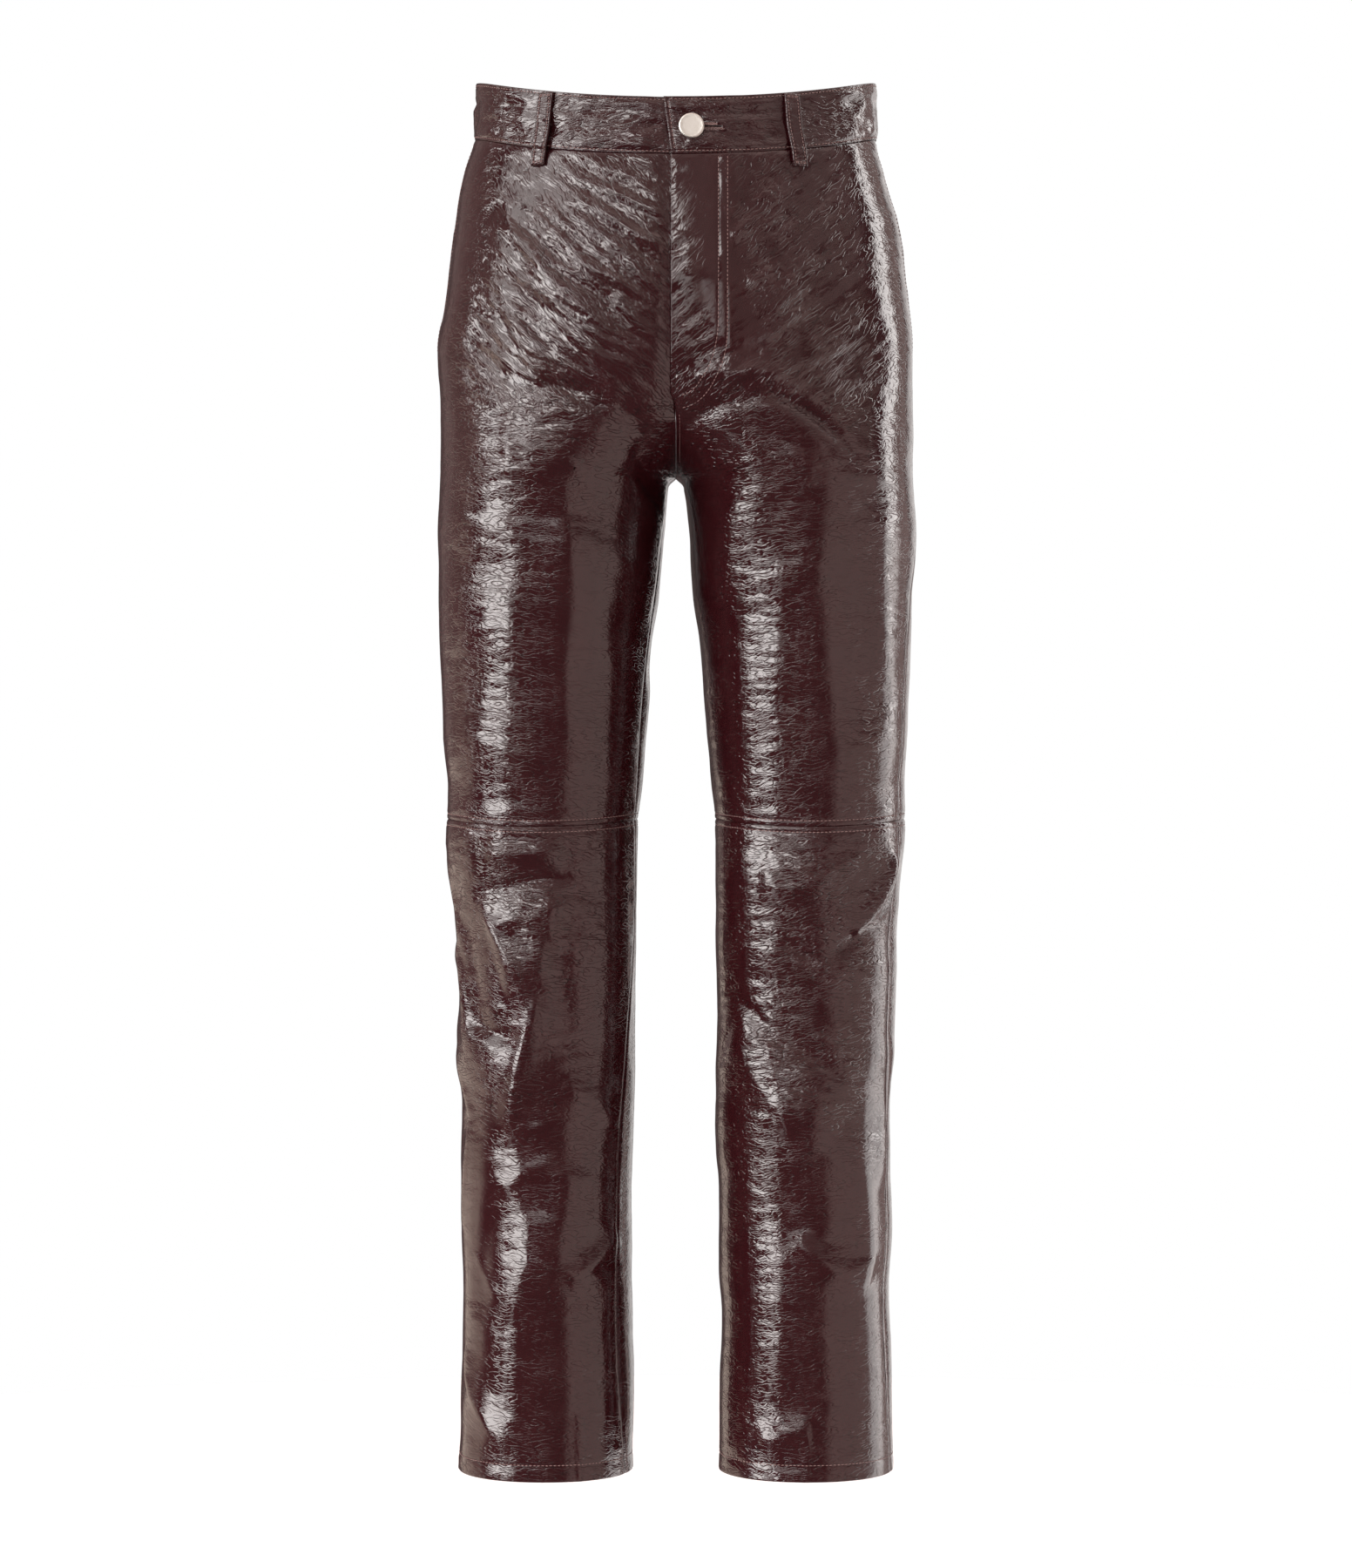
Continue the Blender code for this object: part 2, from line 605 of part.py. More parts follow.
def add_pocket_facing(side):
    """Make the strip behind a side pocket's mouth from the points of the two panels beside it."""
    front_angles, front_heights = thigh_grid(side, "front")
    back_angles, back_heights = thigh_grid(side, "back")
    rows = int(np.count_nonzero(front_heights[:, -1] > POCKET_FOOT - 14.0))
    angles = np.concatenate((front_angles[:rows, -4:], back_angles[:rows, :-4:-1]), axis=1)
    heights = np.concatenate((front_heights[:rows, -4:], back_heights[:rows, :-4:-1]), axis=1)
    outer = surface(side, angles, heights, -CLOTH - SEAM_GAP)
    inner = surface(side, angles, heights, -CLOTH - SEAM_GAP - FACING_CLOTH)
    wall(f"pocket_facing_{side}", outer, inner, CLOTH_INSIDE)


def add_belt_loop(loop):
    """Make one belt loop, flat at both tacks and standing off the band between them."""
    middle_top = float(waist_top(loop.angle))
    head = middle_top - LOOP_TOP_INSET
    foot = middle_top - BAND_HEIGHT - LOOP_BELOW
    down = np.linspace(0.0, 1.0, 11)[:, None]
    aside = np.linspace(-0.5, 0.5, 3)
    heights = head + (foot - head) * down + np.zeros(aside.shape)
    _, _, half_x, half_y = ellipse_at(heights)
    reach = LOOP_WIDTH * aside - loop.lean * down
    facing = np.hypot(half_x * math.sin(math.radians(loop.angle)), half_y * math.cos(math.radians(loop.angle)))
    angles = loop.angle + np.degrees(reach / facing)
    on_band = fade(heights, middle_top - BAND_HEIGHT - 3.0, middle_top - BAND_HEIGHT + 1.0)
    lift = LOOP_SEAT + BAND_PROUD * on_band + LOOP_RISE * np.sin(math.pi * down) ** 0.7
    inner = surface(loop.side, angles, heights, lift)
    outer = surface(loop.side, angles, heights, lift + LOOP_CLOTH)
    wall(loop.name, outer, inner, COATED_CLOTH)


def button_frame():
    """Return the frame whose +Z points out of the cloth at the button, on the band's outer face."""
    height = np.array(BUTTON_HEIGHT)
    angle = angle_of(np.array(BUTTON_ACROSS), height)
    point = surface("left", angle, height, BAND_PROUD + OVERLAP_LIFT)
    above = surface("left", angle, height + 5.0, BAND_PROUD + OVERLAP_LIFT)
    beside = surface("left", angle - 2.0, height, BAND_PROUD + OVERLAP_LIFT)
    up = Vector(above - point).normalized()
    outward = up.cross(Vector(beside - point)).normalized() * -1.0
    across = up.cross(outward).normalized()
    turn = Matrix((across, up, outward)).transposed()
    return Matrix.Translation(Vector(point) * MM) @ turn.to_4x4()


def add_button():
    """Make the flat metal button: a rounded disc turned with its shank, seated on the under-lap."""
    seat = -BAND_CLOTH
    back = BUTTON_CLEAR
    face = back + BUTTON_THICK
    profile = (
        (0.0, seat),
        (SHANK_RADIUS, seat),
        (SHANK_RADIUS, back),
        (BUTTON_RADIUS - BUTTON_ROUND, back),
        (BUTTON_RADIUS, back + BUTTON_ROUND),
        (BUTTON_RADIUS, face - BUTTON_ROUND),
        (BUTTON_RADIUS - BUTTON_ROUND, face),
        (0.0, face - 0.2),
    )
    mesh = bmesh.new()
    line = [mesh.verts.new((radius * MM, 0.0, level * MM)) for radius, level in profile]
    edges = [mesh.edges.new(pair) for pair in zip(line, line[1:])]
    bmesh.ops.spin(
        mesh, geom=line + edges, cent=(0.0, 0.0, 0.0), axis=(0.0, 0.0, 1.0),
        angle=2.0 * math.pi, steps=ROUND_STEPS, use_merge=True,
    )
    bmesh.ops.remove_doubles(mesh, verts=mesh.verts, dist=1e-6)
    item = add_object("button", mesh, NICKEL)
    item.matrix_world = button_frame()


def cut_buttonhole(band):
    """Cut the keyhole through the waistband's left end: a round eye and a straight slit."""
    opening = math.asin(SLIT_WIDTH / 2.0 / HOLE_RADIUS)
    turns = np.linspace(opening, 2.0 * math.pi - opening, ROUND_STEPS)
    outline = [(HOLE_RADIUS * math.cos(turn), HOLE_RADIUS * math.sin(turn)) for turn in turns]
    outline += [(SLIT_LENGTH, -SLIT_WIDTH / 2.0), (SLIT_LENGTH, SLIT_WIDTH / 2.0)]
    mesh = bmesh.new()
    corners = [mesh.verts.new((x * MM, y * MM, -4.0 * BAND_CLOTH * MM)) for x, y in outline]
    foot = mesh.faces.new(corners)
    grown = bmesh.ops.extrude_face_region(mesh, geom=[foot])
    moved = [item for item in grown["geom"] if isinstance(item, bmesh.types.BMVert)]
    bmesh.ops.translate(mesh, verts=moved, vec=(0.0, 0.0, 8.0 * BAND_CLOTH * MM))
    cutter = add_object("buttonhole_cutter", mesh, CLOTH_INSIDE)
    cutter.matrix_world = button_frame()
    cutter.hide_render = True
    cutter.display_type = "WIRE"
    cut = band.modifiers.new("buttonhole", "BOOLEAN")
    cut.operation = "DIFFERENCE"
    cut.object = cutter


def main():
    """Clear the scene and make every piece."""
    for item in list(bpy.data.objects):
        bpy.data.objects.remove(item, do_unlink=True)
    add_leg_panels()
    bands = {side: add_waistband(side) for side in SIDES}
    add_fly_shield()
    for side in SIDES:
        add_pocket_facing(side)
    for loop in LOOPS:
        add_belt_loop(loop)
    add_button()
    cut_buttonhole(bands["left"])


main()
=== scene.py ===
"""Straight-leg trousers in crinkled patent coating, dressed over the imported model.

The frame is the waistband's: the origin is the centre of its ring, the front faces -Y, the
wearer's left is +X and the legs hang down -Z. Tables and sizes are in millimetres.
"""

import logging
import math
from dataclasses import dataclass, field
from enum import Enum
from typing import Any, Callable, NamedTuple, Sequence

import bpy
import numpy as np
from mathutils import Matrix, Vector


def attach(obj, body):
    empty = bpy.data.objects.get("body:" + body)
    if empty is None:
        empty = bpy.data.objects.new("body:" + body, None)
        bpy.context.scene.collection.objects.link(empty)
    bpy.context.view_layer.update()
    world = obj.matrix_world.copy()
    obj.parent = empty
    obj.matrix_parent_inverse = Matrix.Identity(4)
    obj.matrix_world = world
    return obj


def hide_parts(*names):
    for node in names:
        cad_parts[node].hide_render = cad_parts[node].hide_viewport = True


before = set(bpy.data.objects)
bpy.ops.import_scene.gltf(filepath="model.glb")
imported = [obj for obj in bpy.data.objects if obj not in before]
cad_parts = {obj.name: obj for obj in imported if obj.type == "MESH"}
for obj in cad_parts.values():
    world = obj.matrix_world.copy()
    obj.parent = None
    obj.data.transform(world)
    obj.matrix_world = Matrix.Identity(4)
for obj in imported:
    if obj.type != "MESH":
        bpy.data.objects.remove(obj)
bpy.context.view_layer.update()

LOG = logging.getLogger("trousers")
BODY = "root"
MM = 0.001

Grid = np.ndarray
Rows = list[tuple[np.ndarray, np.ndarray]]
Colour = tuple[float, float, float]
Values = dict[Any, Any] | None
Material = bpy.types.Material
Piece = bpy.types.Object

# Cloth, seams and the waistband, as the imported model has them
CLOTH = 1.5
BAND_CLOTH = 2.6
LOOP_CLOTH = 2.0
SEAM_GAP = 0.05         # sewn edges all but touch here
HEM_TURN = 13.5
HEM_STEP = 1.5
SQUARENESS = 2.12
WAIST_TOP = 18.5
WAIST_DIP = 25.5
WAIST_DIP_POWER = 1.5
BAND_HEIGHT = 42.0
BAND_PROUD = 0.6
OVERLAP_TOP = 9.1
OVERLAP_FOOT = 3.5
UNDERLAP = 33.0
OVERLAP_LIFT = 1.4
UNDERLAP_SINK = 1.5

# The fly and its shield
FLY_LAP = 3.6
FLY_UNDER = 2.0
FLY_LIFT = 1.3
FLY_SINK = 1.3
FLY_WIDTH = 37.0
FLY_FOOT = -221.0
FLY_JOINED = -232.0
FLY_FLAT = -243.0
SHIELD_BEHIND = 0.9
SHIELD_CURVE = 34.0
SHIELD_NARROW = 0.5

# Seams across the legs, side pockets and belt loops
CROTCH = -275.4
KNEE = -530.0
KNEE_DIP = 5.0
HEM = -1016.0
POCKET_FOOT = -180.0
POCKET_LIP = 1.3
POCKET_LIP_WIDTH = 16.0
FACING_CLOTH = 1.0
LOOP_WIDTH = 12.0
LOOP_RISE = 2.6
LOOP_SEAT = 0.6
LOOP_BELOW = 13.0
LOOP_TOP_INSET = 1.2

# Button and buttonhole
BUTTON_ACROSS = 11.0
BUTTON_HEIGHT = -29.0
HOLE_RADIUS = 3.6
SLIT_WIDTH = 1.4
SLIT_LENGTH = 22.0

# The curved double row beside the fly, in its shallow channels
FLY_ROWS = (30.5, FLY_WIDTH)
FLY_ROW_FEET = (-224.0, -232.5)
FLY_BEND = 56.0
FLY_CHANNEL = 0.24
FLY_FINE = (0.098, 0.172, 30)   # shares of the panel's width with closer columns, and how many

# How the fine surface is made
DENSE = 97              # samples by which a section's length is measured
EDGE_ROUND = 0.9        # radius to which a panel's edge is turned in
SEAM_SINK = 0.55        # a pressed seam lies this much lower than the cloth beside it
SEAM_REACH = 2.1        # over this distance
STITCH_SINK = 0.50      # cloth pulled down under a row of topstitching
STITCH_REACH = 0.9
TOPSTITCH = 4.2         # that row's distance from its seam
CENTRE_ROUND = 0.35     # and the centre seams' smaller one
NEAR_EDGE = (0.0, 0.12, 0.35, 0.7, 1.2, 2.0, 2.8, 3.5, 4.2, 4.9, 5.8)
NEAR_LOOP_EDGE = (0.0, 0.15, 0.45, 0.9, 1.5, 2.1, 2.7, 3.5)
BASE_WORK = 0.36        # how crumpled the calm cloth is, where 1 is the most worked place


class Side(Enum):
    """The wearer's left or right half."""

    LEFT = "left"
    RIGHT = "right"

    @property
    def sign(self) -> float:
        """Direction of that half along X."""
        return 1.0 if self is Side.LEFT else -1.0


class Face(Enum):
    """The front or the back of a leg."""

    FRONT = "front"
    BACK = "back"

    @property
    def sign(self) -> float:
        """Sign of that face's angles round the column."""
        return 1.0 if self is Face.FRONT else -1.0


class Span(Enum):
    """The stretch of a leg that a panel covers."""

    THIGH = "thigh"
    SHIN = "shin"


class Section(NamedTuple):
    """One level of half the garment, from the centre line and the middle plane."""

    height: float
    outer: float
    inner: float
    front: float
    back: float


SECTIONS = (
    Section(30, 148.8, -148.8, -97, 100),
    Section(-23, 150.2, -150.2, -99.5, 103),
    Section(-49, 156.5, -156.3, -103, 107),
    Section(-82, 163.2, -160, -108, 112.5),
    Section(-114, 168.6, -155, -111.5, 118),
    Section(-147, 173.6, -142, -113.5, 122.5),
    Section(-180, 177, -122, -113.5, 125),
    Section(-210, 176.3, -92, -111.5, 124),
    Section(-240, 176.4, -46, -107.5, 120.5),
    Section(-262, 176.8, -12.5, -104.5, 117),
    Section(CROTCH, 177.1, 0, -102.5, 114),
    Section(-280.6, 177.2, 5.5, -101.5, 113),
    Section(-291, 177.6, 7.3, -99.5, 110.5),
    Section(-312, 178.3, 9.5, -96.5, 105),
    Section(-350, 177.1, 13, -92, 98),
    Section(-400, 175.8, 17.6, -88, 91),
    Section(-452, 173.4, 22, -84, 84),
    Section(-504, 171.8, 25.7, -80, 76),
    Section(-530, 172, 27.2, -78, 73),
    Section(-582, 168, 28.2, -74, 72),
    Section(-634, 164.8, 29.3, -70, 75),
    Section(-712, 161.9, 30.2, -65.5, 80),
    Section(-790, 160.9, 31.6, -62.5, 80),
    Section(-900, 160.6, 33.2, -60, 77.5),
    Section(-972, 161.5, 32.6, -58.5, 76.5),
    Section(-1030, 161.5, 32.2, -58, 76),
)


class Turn(NamedTuple):
    """How far a leg's two long seams are turned round it at one level, in degrees."""

    height: float
    left: float
    right: float


TURNS = (
    Turn(-260, 0, 0),
    Turn(CROTCH, 0, 0),
    Turn(-345, 11, -8),
    Turn(-430, 22, -17),
    Turn(-540, 24, -15),
    Turn(-600, 27, -13),
    Turn(-690, 28, -25),
    Turn(-790, 23, -35),
    Turn(-900, 27, -34),
    Turn(-1030, 15, -22),
)


class Fold(NamedTuple):
    """A ridge, or trough where its height is negative, between two places on the cloth.

    Places are angles round the column, 0 at the side, 90 in front and -90 behind, and heights.
    The line between them bows sideways by its bow. Width is half the fold's breadth.
    """

    from_angle: float
    from_height: float
    to_angle: float
    to_height: float
    bow: float
    width: float
    height: float


# The main folds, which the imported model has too. A row is one Fold
FOLDS = {
    Side.RIGHT: (
        # Drag lines from the right hip down to the fly, and the crease where that thigh begins
        (36, -88, 97, -222, -5, 10, 3), (54, -78, 92, -150, 0, 11, 2.2),
        (39, -118, 70, -212, 9, 9, 2.6), (62, -212, 120, -262, -8, 8, -2.8),
        (112, -250, 166, -296, 0, 8, -2.4), (76, -246, 116, -420, -10, 18, 2.4),
        # Creases below the right knee
        (58, -548, 104, -550, 0, 15, 2), (42, -588, 116, -570, -3, 9, 3.2),
        (49, -588, 84, -672, 0, 9, 3), (80, -606, 118, -622, 3, 8, 2.2),
        (86, -662, 66, -758, 0, 10, 2.6), (12, -620, 32, -702, 0, 9, 2.4),
        (24, -672, 78, -690, 3, 9, -2.6), (98, -724, 144, -758, -6, 11, 2.2),
        (148, -836, 104, -870, 0, 10, 2.4), (90, -815, 70, -900, 0, 13, 2),
        (14, -925, 68, -996, 0, 13, 2),
        # Below the seat and behind the knees
        (-138, -276, -42, -262, -8, 13, -3.2), (-120, -322, -58, -300, -5, 13, 2.2),
        (-148, -486, -44, -502, 6, 11, -3.2), (-128, -556, -28, -540, -5, 10, 3),
        (-112, -588, -20, -622, 4, 10, -2.8), (-150, -636, -76, -676, 0, 12, 2.4),
        (-58, -770, -96, -868, 0, 14, 2.2),
    ),
    Side.LEFT: (
        # The arch over the left thigh
        (128, -247, 82, -219, 3, 8, -2.8), (85, -219, 60, -276, 7, 8, -3),
        (102, -212, 72, -208, 3, 9, 2.2), (92, -252, 150, -362, 0, 20, 2.4),
        (88, -300, 98, -440, 0, 20, 1.6),
        # Creases below the left knee
        (114, -556, 60, -558, -9, 8, 2.6), (106, -618, 82, -634, -2, 8, -2.2),
        (84, -634, 44, -602, -3, 9, -2.6), (24, -548, 62, -616, 5, 9, 3.2),
        (152, -656, 64, -732, 0, 20, 3), (16, -690, 30, -806, 0, 12, 2),
        (100, -836, 42, -868, -6, 10, 2.2), (124, -986, 90, -974, -3, 9, 1.8),
        # Below the seat and behind the knees
        (-132, -268, -50, -272, -9, 13, -3), (-112, -316, -46, -306, -5, 13, 2),
        (-142, -498, -56, -486, 6, 11, -3), (-136, -548, -36, -560, -5, 10, 3),
        (-104, -604, -14, -592, 4, 10, -2.6), (-140, -662, -62, -640, 0, 12, 2.2),
        (-110, -790, -66, -880, 0, 14, 2.2),
    ),
}

# Creases that lie between and on those folds. A row is one Fold
CREASES = {
    Side.RIGHT: (
        # Right hip, thigh and crotch
        (40, -84, 84, -178, 4, 4.5, 2.3), (47, -80, 96, -190, -4, 4, 1.9),
        (62, -74, 97, -124, 3, 4.5, 2.2), (72, -72, 98, -102, 2, 3.5, 1.6),
        (42, -132, 62, -206, 5, 4, -2), (49, -150, 78, -214, 4, 3.5, 1.8),
        (66, -168, 99, -240, -3, 4, 2.3), (57, -100, 95, -164, 2, 3.6, 1.9),
        (55, -128, 88, -206, 3, 4.2, 2), (38, -100, 58, -146, 3, 3.8, 1.9),
        (68, -216, 88, -224, -2, 4, -2), (86, -222, 128, -264, -4, 5, -2.3),
        (120, -258, 168, -304, 3, 4.6, -1.7), (60, -232, 74, -282, 4, 4.5, 1.5),
        (80, -258, 118, -300, -3, 5, 0.6), (104, -318, 146, -352, 3, 6, 0.6),
        (26, -300, 62, -316, 3, 5, 0.5), (30, -402, 66, -392, -3, 6, 0.5),
        (44, -468, 84, -480, 3, 5, 0.6),
        # Right knee and shin
        (58, -536, 96, -539, 1, 4.4, 1.5), (62, -566, 112, -562, 2, 4, -0.8),
        (44, -585, 108, -573, -3, 3.6, -1.6), (50, -592, 82, -648, 1, 3.6, 1.7),
        (74, -588, 108, -592, 3, 5, 1.6), (84, -622, 116, -632, 2, 5, 1.7),
        (70, -640, 100, -660, -2, 4, 0.8), (87, -656, 67, -760, 2, 3.8, 1.3),
        (66, -756, 92, -752, 4, 3.4, 1.2), (18, -628, 36, -696, 2, 4, 1.5),
        (6, -556, 30, -636, 3, 6.5, 1.7), (34, -570, 16, -604, 2, 6, -1.4),
        (2, -644, 24, -604, 2, 6.5, 1.3), (4, -700, 34, -752, 3, 7, 1.6),
        (32, -752, 12, -838, 2, 7, 1.6), (30, -676, 74, -690, 3, 3.6, -1.6),
        (34, -704, 66, -716, 2, 4, 0.8), (102, -728, 142, -760, -4, 4, 0.9),
        (96, -778, 60, -806, 3, 4.5, 0.7), (146, -838, 106, -868, 0, 3.8, 1.2),
        (110, -862, 78, -852, -3, 3.8, 1), (34, -846, 62, -884, 3, 4, 0.7),
        (22, -938, 66, -992, 2, 4, 0.8), (113, -962, 113, -1022, 0, 2.6, 1),
        (97, -572, 88, -652, 0, 13, 2), (42, -588, 116, -570, -3, 9, -4.8),
        (56, -557, 104, -553, 0, 7, 2.6), (54, -609, 102, -598, -2, 13, 3),
        (62, -640, 94, -632, 0, 22, 4.8), (30, -600, 46, -690, 0, 12, -3),
        (88, -650, 66, -770, 0, 21, 3.4), (106, -596, 110, -706, 8, 17, -2.6),
        (110, -780, 92, -880, 0, 22, 2.4), (60, -800, 40, -900, 4, 18, -2),
        (98, -310, 112, -500, 10, 22, 2.2), (62, -330, 48, -470, 6, 24, -1.6),
        # Seat, thigh backs, knee pits and calves
        (-124, -262, -58, -256, -6, 4.5, -2), (-96, -288, -48, -272, -4, 4.5, 1.7),
        (-132, -306, -84, -314, 4, 4.5, 1.5), (-108, -342, -52, -330, -4, 5, 1.2),
        (-44, -120, -78, -196, 4, 6, 1.4), (-36, -160, -66, -226, 5, 6, 1.4),
        (-126, -490, -54, -500, 5, 4, -2.2), (-108, -520, -46, -514, -3, 4, 2),
        (-118, -552, -50, -542, -4, 4, 2.2), (-96, -574, -40, -588, 3, 4, -1.7),
        (-140, -604, -88, -592, -3, 4, 1.7), (-142, -640, -90, -668, 2, 4.2, 1.9),
        (-60, -640, -26, -668, 2, 4.5, 1.4), (-104, -716, -62, -742, 3, 4.5, 1.4),
        (-64, -786, -92, -852, 2, 4.5, 1.7), (-130, -846, -92, -874, 2, 4.5, 1.4),
        (-50, -914, -88, -956, 3, 4.5, 1.4),
    ),
    Side.LEFT: (
        # Left hip, fly side and the arch over the thigh
        (62, -70, 84, -132, -3, 4.5, 0.7), (44, -84, 76, -168, 4, 5, 0.7),
        (58, -118, 80, -196, -3, 4.5, 0.8), (40, -150, 64, -206, 3, 4.5, 0.7),
        (104, -214, 74, -206, 2, 4.4, 1.9), (100, -222, 80, -214, 2, 3.2, -1),
        (122, -244, 84, -224, 3, 4.8, -2.3), (86, -222, 66, -256, 6, 4.8, -2.3),
        (96, -252, 132, -290, 3, 4.5, 0.8), (112, -276, 154, -310, -3, 4.5, 0.8),
        (84, -262, 104, -322, 4, 6, 0.7), (74, -338, 108, -350, 3, 6, 0.6),
        (130, -398, 158, -436, 0, 5, 0.6), (44, -470, 82, -482, 3, 5, 0.5),
        # Left knee and shin
        (112, -556, 86, -566, -5, 3.6, 0.9), (104, -548, 76, -548, -3, 3.6, 0.9),
        (84, -572, 60, -558, 2, 3.6, 1.7), (122, -590, 92, -584, 3, 4.5, 0.7),
        (104, -618, 84, -634, -1, 3.4, -1.7), (84, -634, 50, -606, -3, 3.6, -1.8),
        (30, -556, 62, -614, 4, 3.8, 1.8), (70, -636, 50, -642, -3, 3.4, 1),
        (114, -556, 60, -558, -9, 8, -2.2), (120, -571, 78, -574, -8, 14, 3.4),
        (30, -552, 66, -614, 4, 14, 3), (152, -650, 66, -724, 0, 12, -4.6),
        (150, -690, 76, -764, 0, 26, 4.8), (60, -760, 48, -880, 6, 20, 2.4),
        (96, -830, 104, -960, -6, 22, 2.2), (72, -330, 60, -470, 8, 22, -2),
        (50, -300, 42, -440, -6, 20, 2.2), (116, -690, 92, -800, 3, 9, 1.5),
        (150, -650, 104, -684, 2, 4.2, 0.9), (122, -668, 66, -730, -2, 4.2, 1),
        (96, -712, 60, -728, 2, 4.2, 0.8), (128, -716, 98, -760, 3, 4.6, 0.8),
        (94, -770, 62, -786, 2, 4.6, 0.7), (98, -838, 62, -866, -4, 3.6, 1.2),
        (66, -864, 38, -856, 3, 3.6, 1), (104, -902, 72, -918, 3, 4.5, 0.7),
        (122, -986, 92, -975, -2, 3.6, 1), (91, -962, 91, -1022, 0, 2.6, 1),
        # Seat, thigh backs, knee pits and calves
        (-122, -256, -64, -264, -6, 4.5, -2), (-104, -284, -42, -284, -4, 4.5, 1.7),
        (-128, -318, -78, -308, 4, 4.5, 1.4), (-98, -336, -50, -344, -4, 5, 1.2),
        (-40, -112, -72, -188, 4, 6, 1.4), (-42, -172, -70, -236, 5, 6, 1.4),
        (-130, -500, -66, -488, 5, 4, -2), (-116, -518, -52, -526, -3, 4, 2),
        (-126, -546, -48, -560, -4, 4, 2.2), (-92, -582, -30, -584, 3, 4, -1.7),
        (-130, -594, -84, -608, -3, 4, 1.7), (-132, -664, -72, -644, 2, 4.2, 1.7),
        (-52, -650, -20, -634, 2, 4.5, 1.4), (-112, -728, -70, -708, 3, 4.5, 1.4),
        (-104, -800, -72, -866, 2, 4.5, 1.7), (-62, -842, -30, -872, 2, 4.5, 1.2),
        (-92, -926, -54, -950, 3, 4.5, 1.4),
    ),
}


class Patch(NamedTuple):
    """A place where the cloth is crumpled more or less than elsewhere, with its reach."""

    angle: float
    height: float
    angle_reach: float
    height_reach: float
    work: float


# A row is one Patch
PATCHES = {
    Side.RIGHT: (
        # Hips, thighs, knees and shins in front, then the seat, the knee pits and the calves
        (66, -150, 34, 80, 0.62), (84, -232, 34, 34, 0.4),
        (52, -300, 24, 60, 0.2), (108, -390, 26, 90, -0.22),
        (78, -590, 52, 62, 0.6), (44, -690, 40, 60, 0.4),
        (96, -850, 50, 50, 0.12), (60, -800, 60, 80, -0.26),
        (70, -940, 60, 70, -0.22), (-90, -286, 56, 44, 0.5),
        (-86, -548, 66, 74, 0.6), (-84, -770, 50, 90, 0.25),
    ),
    Side.LEFT: (
        # Hips, thighs, knees and shins in front, then the seat, the knee pits and the calves
        (60, -850, 50, 130, -0.26), (74, -130, 24, 80, 0.5),
        (83.5, -140, 8.5, 110, -0.95), (40, -140, 14, 90, -0.25),
        (84, -218, 34, 26, 0.6), (118, -300, 30, 60, 0.35),
        (74, -400, 18, 110, -0.2), (84, -590, 52, 56, 0.6),
        (100, -700, 46, 62, 0.7), (66, -856, 46, 46, 0.12),
        (-88, -290, 56, 44, 0.5), (-90, -550, 66, 74, 0.6),
        (-88, -800, 50, 90, 0.25),
    ),
}


class LoopPlace(NamedTuple):
    """A belt loop's place: its half, how far round it lies, and how far its foot leans outwards."""

    name: str
    side: Side
    angle: float
    lean: float


LOOPS = (
    LoopPlace("belt_loop_front_right", Side.RIGHT, 52.5, 2),
    LoopPlace("belt_loop_front_left", Side.LEFT, 57.5, 1.5),
    LoopPlace("belt_loop_back_right", Side.RIGHT, -38, 0),
    LoopPlace("belt_loop_back_left", Side.LEFT, -38, 0),
    LoopPlace("belt_loop_back_centre", Side.LEFT, -90, 0),
)


def smooth_read(heights: Sequence[float], values: Sequence[float], wanted: Grid) -> Grid:
    """Read a table with a curve that never overshoots its rows.

    Each span is a cubic whose end slopes are the weighted harmonic means of the slopes of the
    spans on either side, or zero where those differ in sign.

    Args:
        heights: The table's heights.
        values: Its values at those heights.
        wanted: The heights to read it at.

    Returns:
        The values there.
    """
    order = np.argsort(heights)
    x = np.asarray(heights, float)[order]
    y = np.asarray(values, float)[order]
    step = np.diff(x)
    slope = np.diff(y) / step
    before, after = slope[:-1], slope[1:]
    weight_before = 2.0 * step[1:] + step[:-1]
    weight_after = step[1:] + 2.0 * step[:-1]
    same = before * after > 0.0
    safe_before = np.where(same, before, 1.0)
    safe_after = np.where(same, after, 1.0)
    mean = (weight_before + weight_after) / (weight_before / safe_before + weight_after / safe_after)
    tangent = np.concatenate(([slope[0]], np.where(same, mean, 0.0), [slope[-1]]))
    z = np.clip(np.asarray(wanted, float), x[0], x[-1])
    span = np.clip(np.searchsorted(x, z, side="right") - 1, 0, len(step) - 1)
    t = (z - x[span]) / step[span]
    return (
        y[span] * (1.0 + 2.0 * t) * (1.0 - t) ** 2
        + y[span + 1] * t**2 * (3.0 - 2.0 * t)
        + step[span] * (tangent[span] * t * (1.0 - t) ** 2 - tangent[span + 1] * t**2 * (1.0 - t))
    )


def fade(value: Grid, low: float, high: float) -> Grid:
    """Rise smoothly from 0 at low to 1 at high, whichever of the two is larger."""
    t = np.clip((np.asarray(value, float) - low) / (high - low), 0.0, 1.0)
    return t * t * (3.0 - 2.0 * t)


def bell(distance: Grid, reach: float) -> Grid:
    """Fall from 1 at no distance as the power of e of minus the squared share of the reach."""
    return np.exp(-((np.asarray(distance, float) / reach) ** 2))


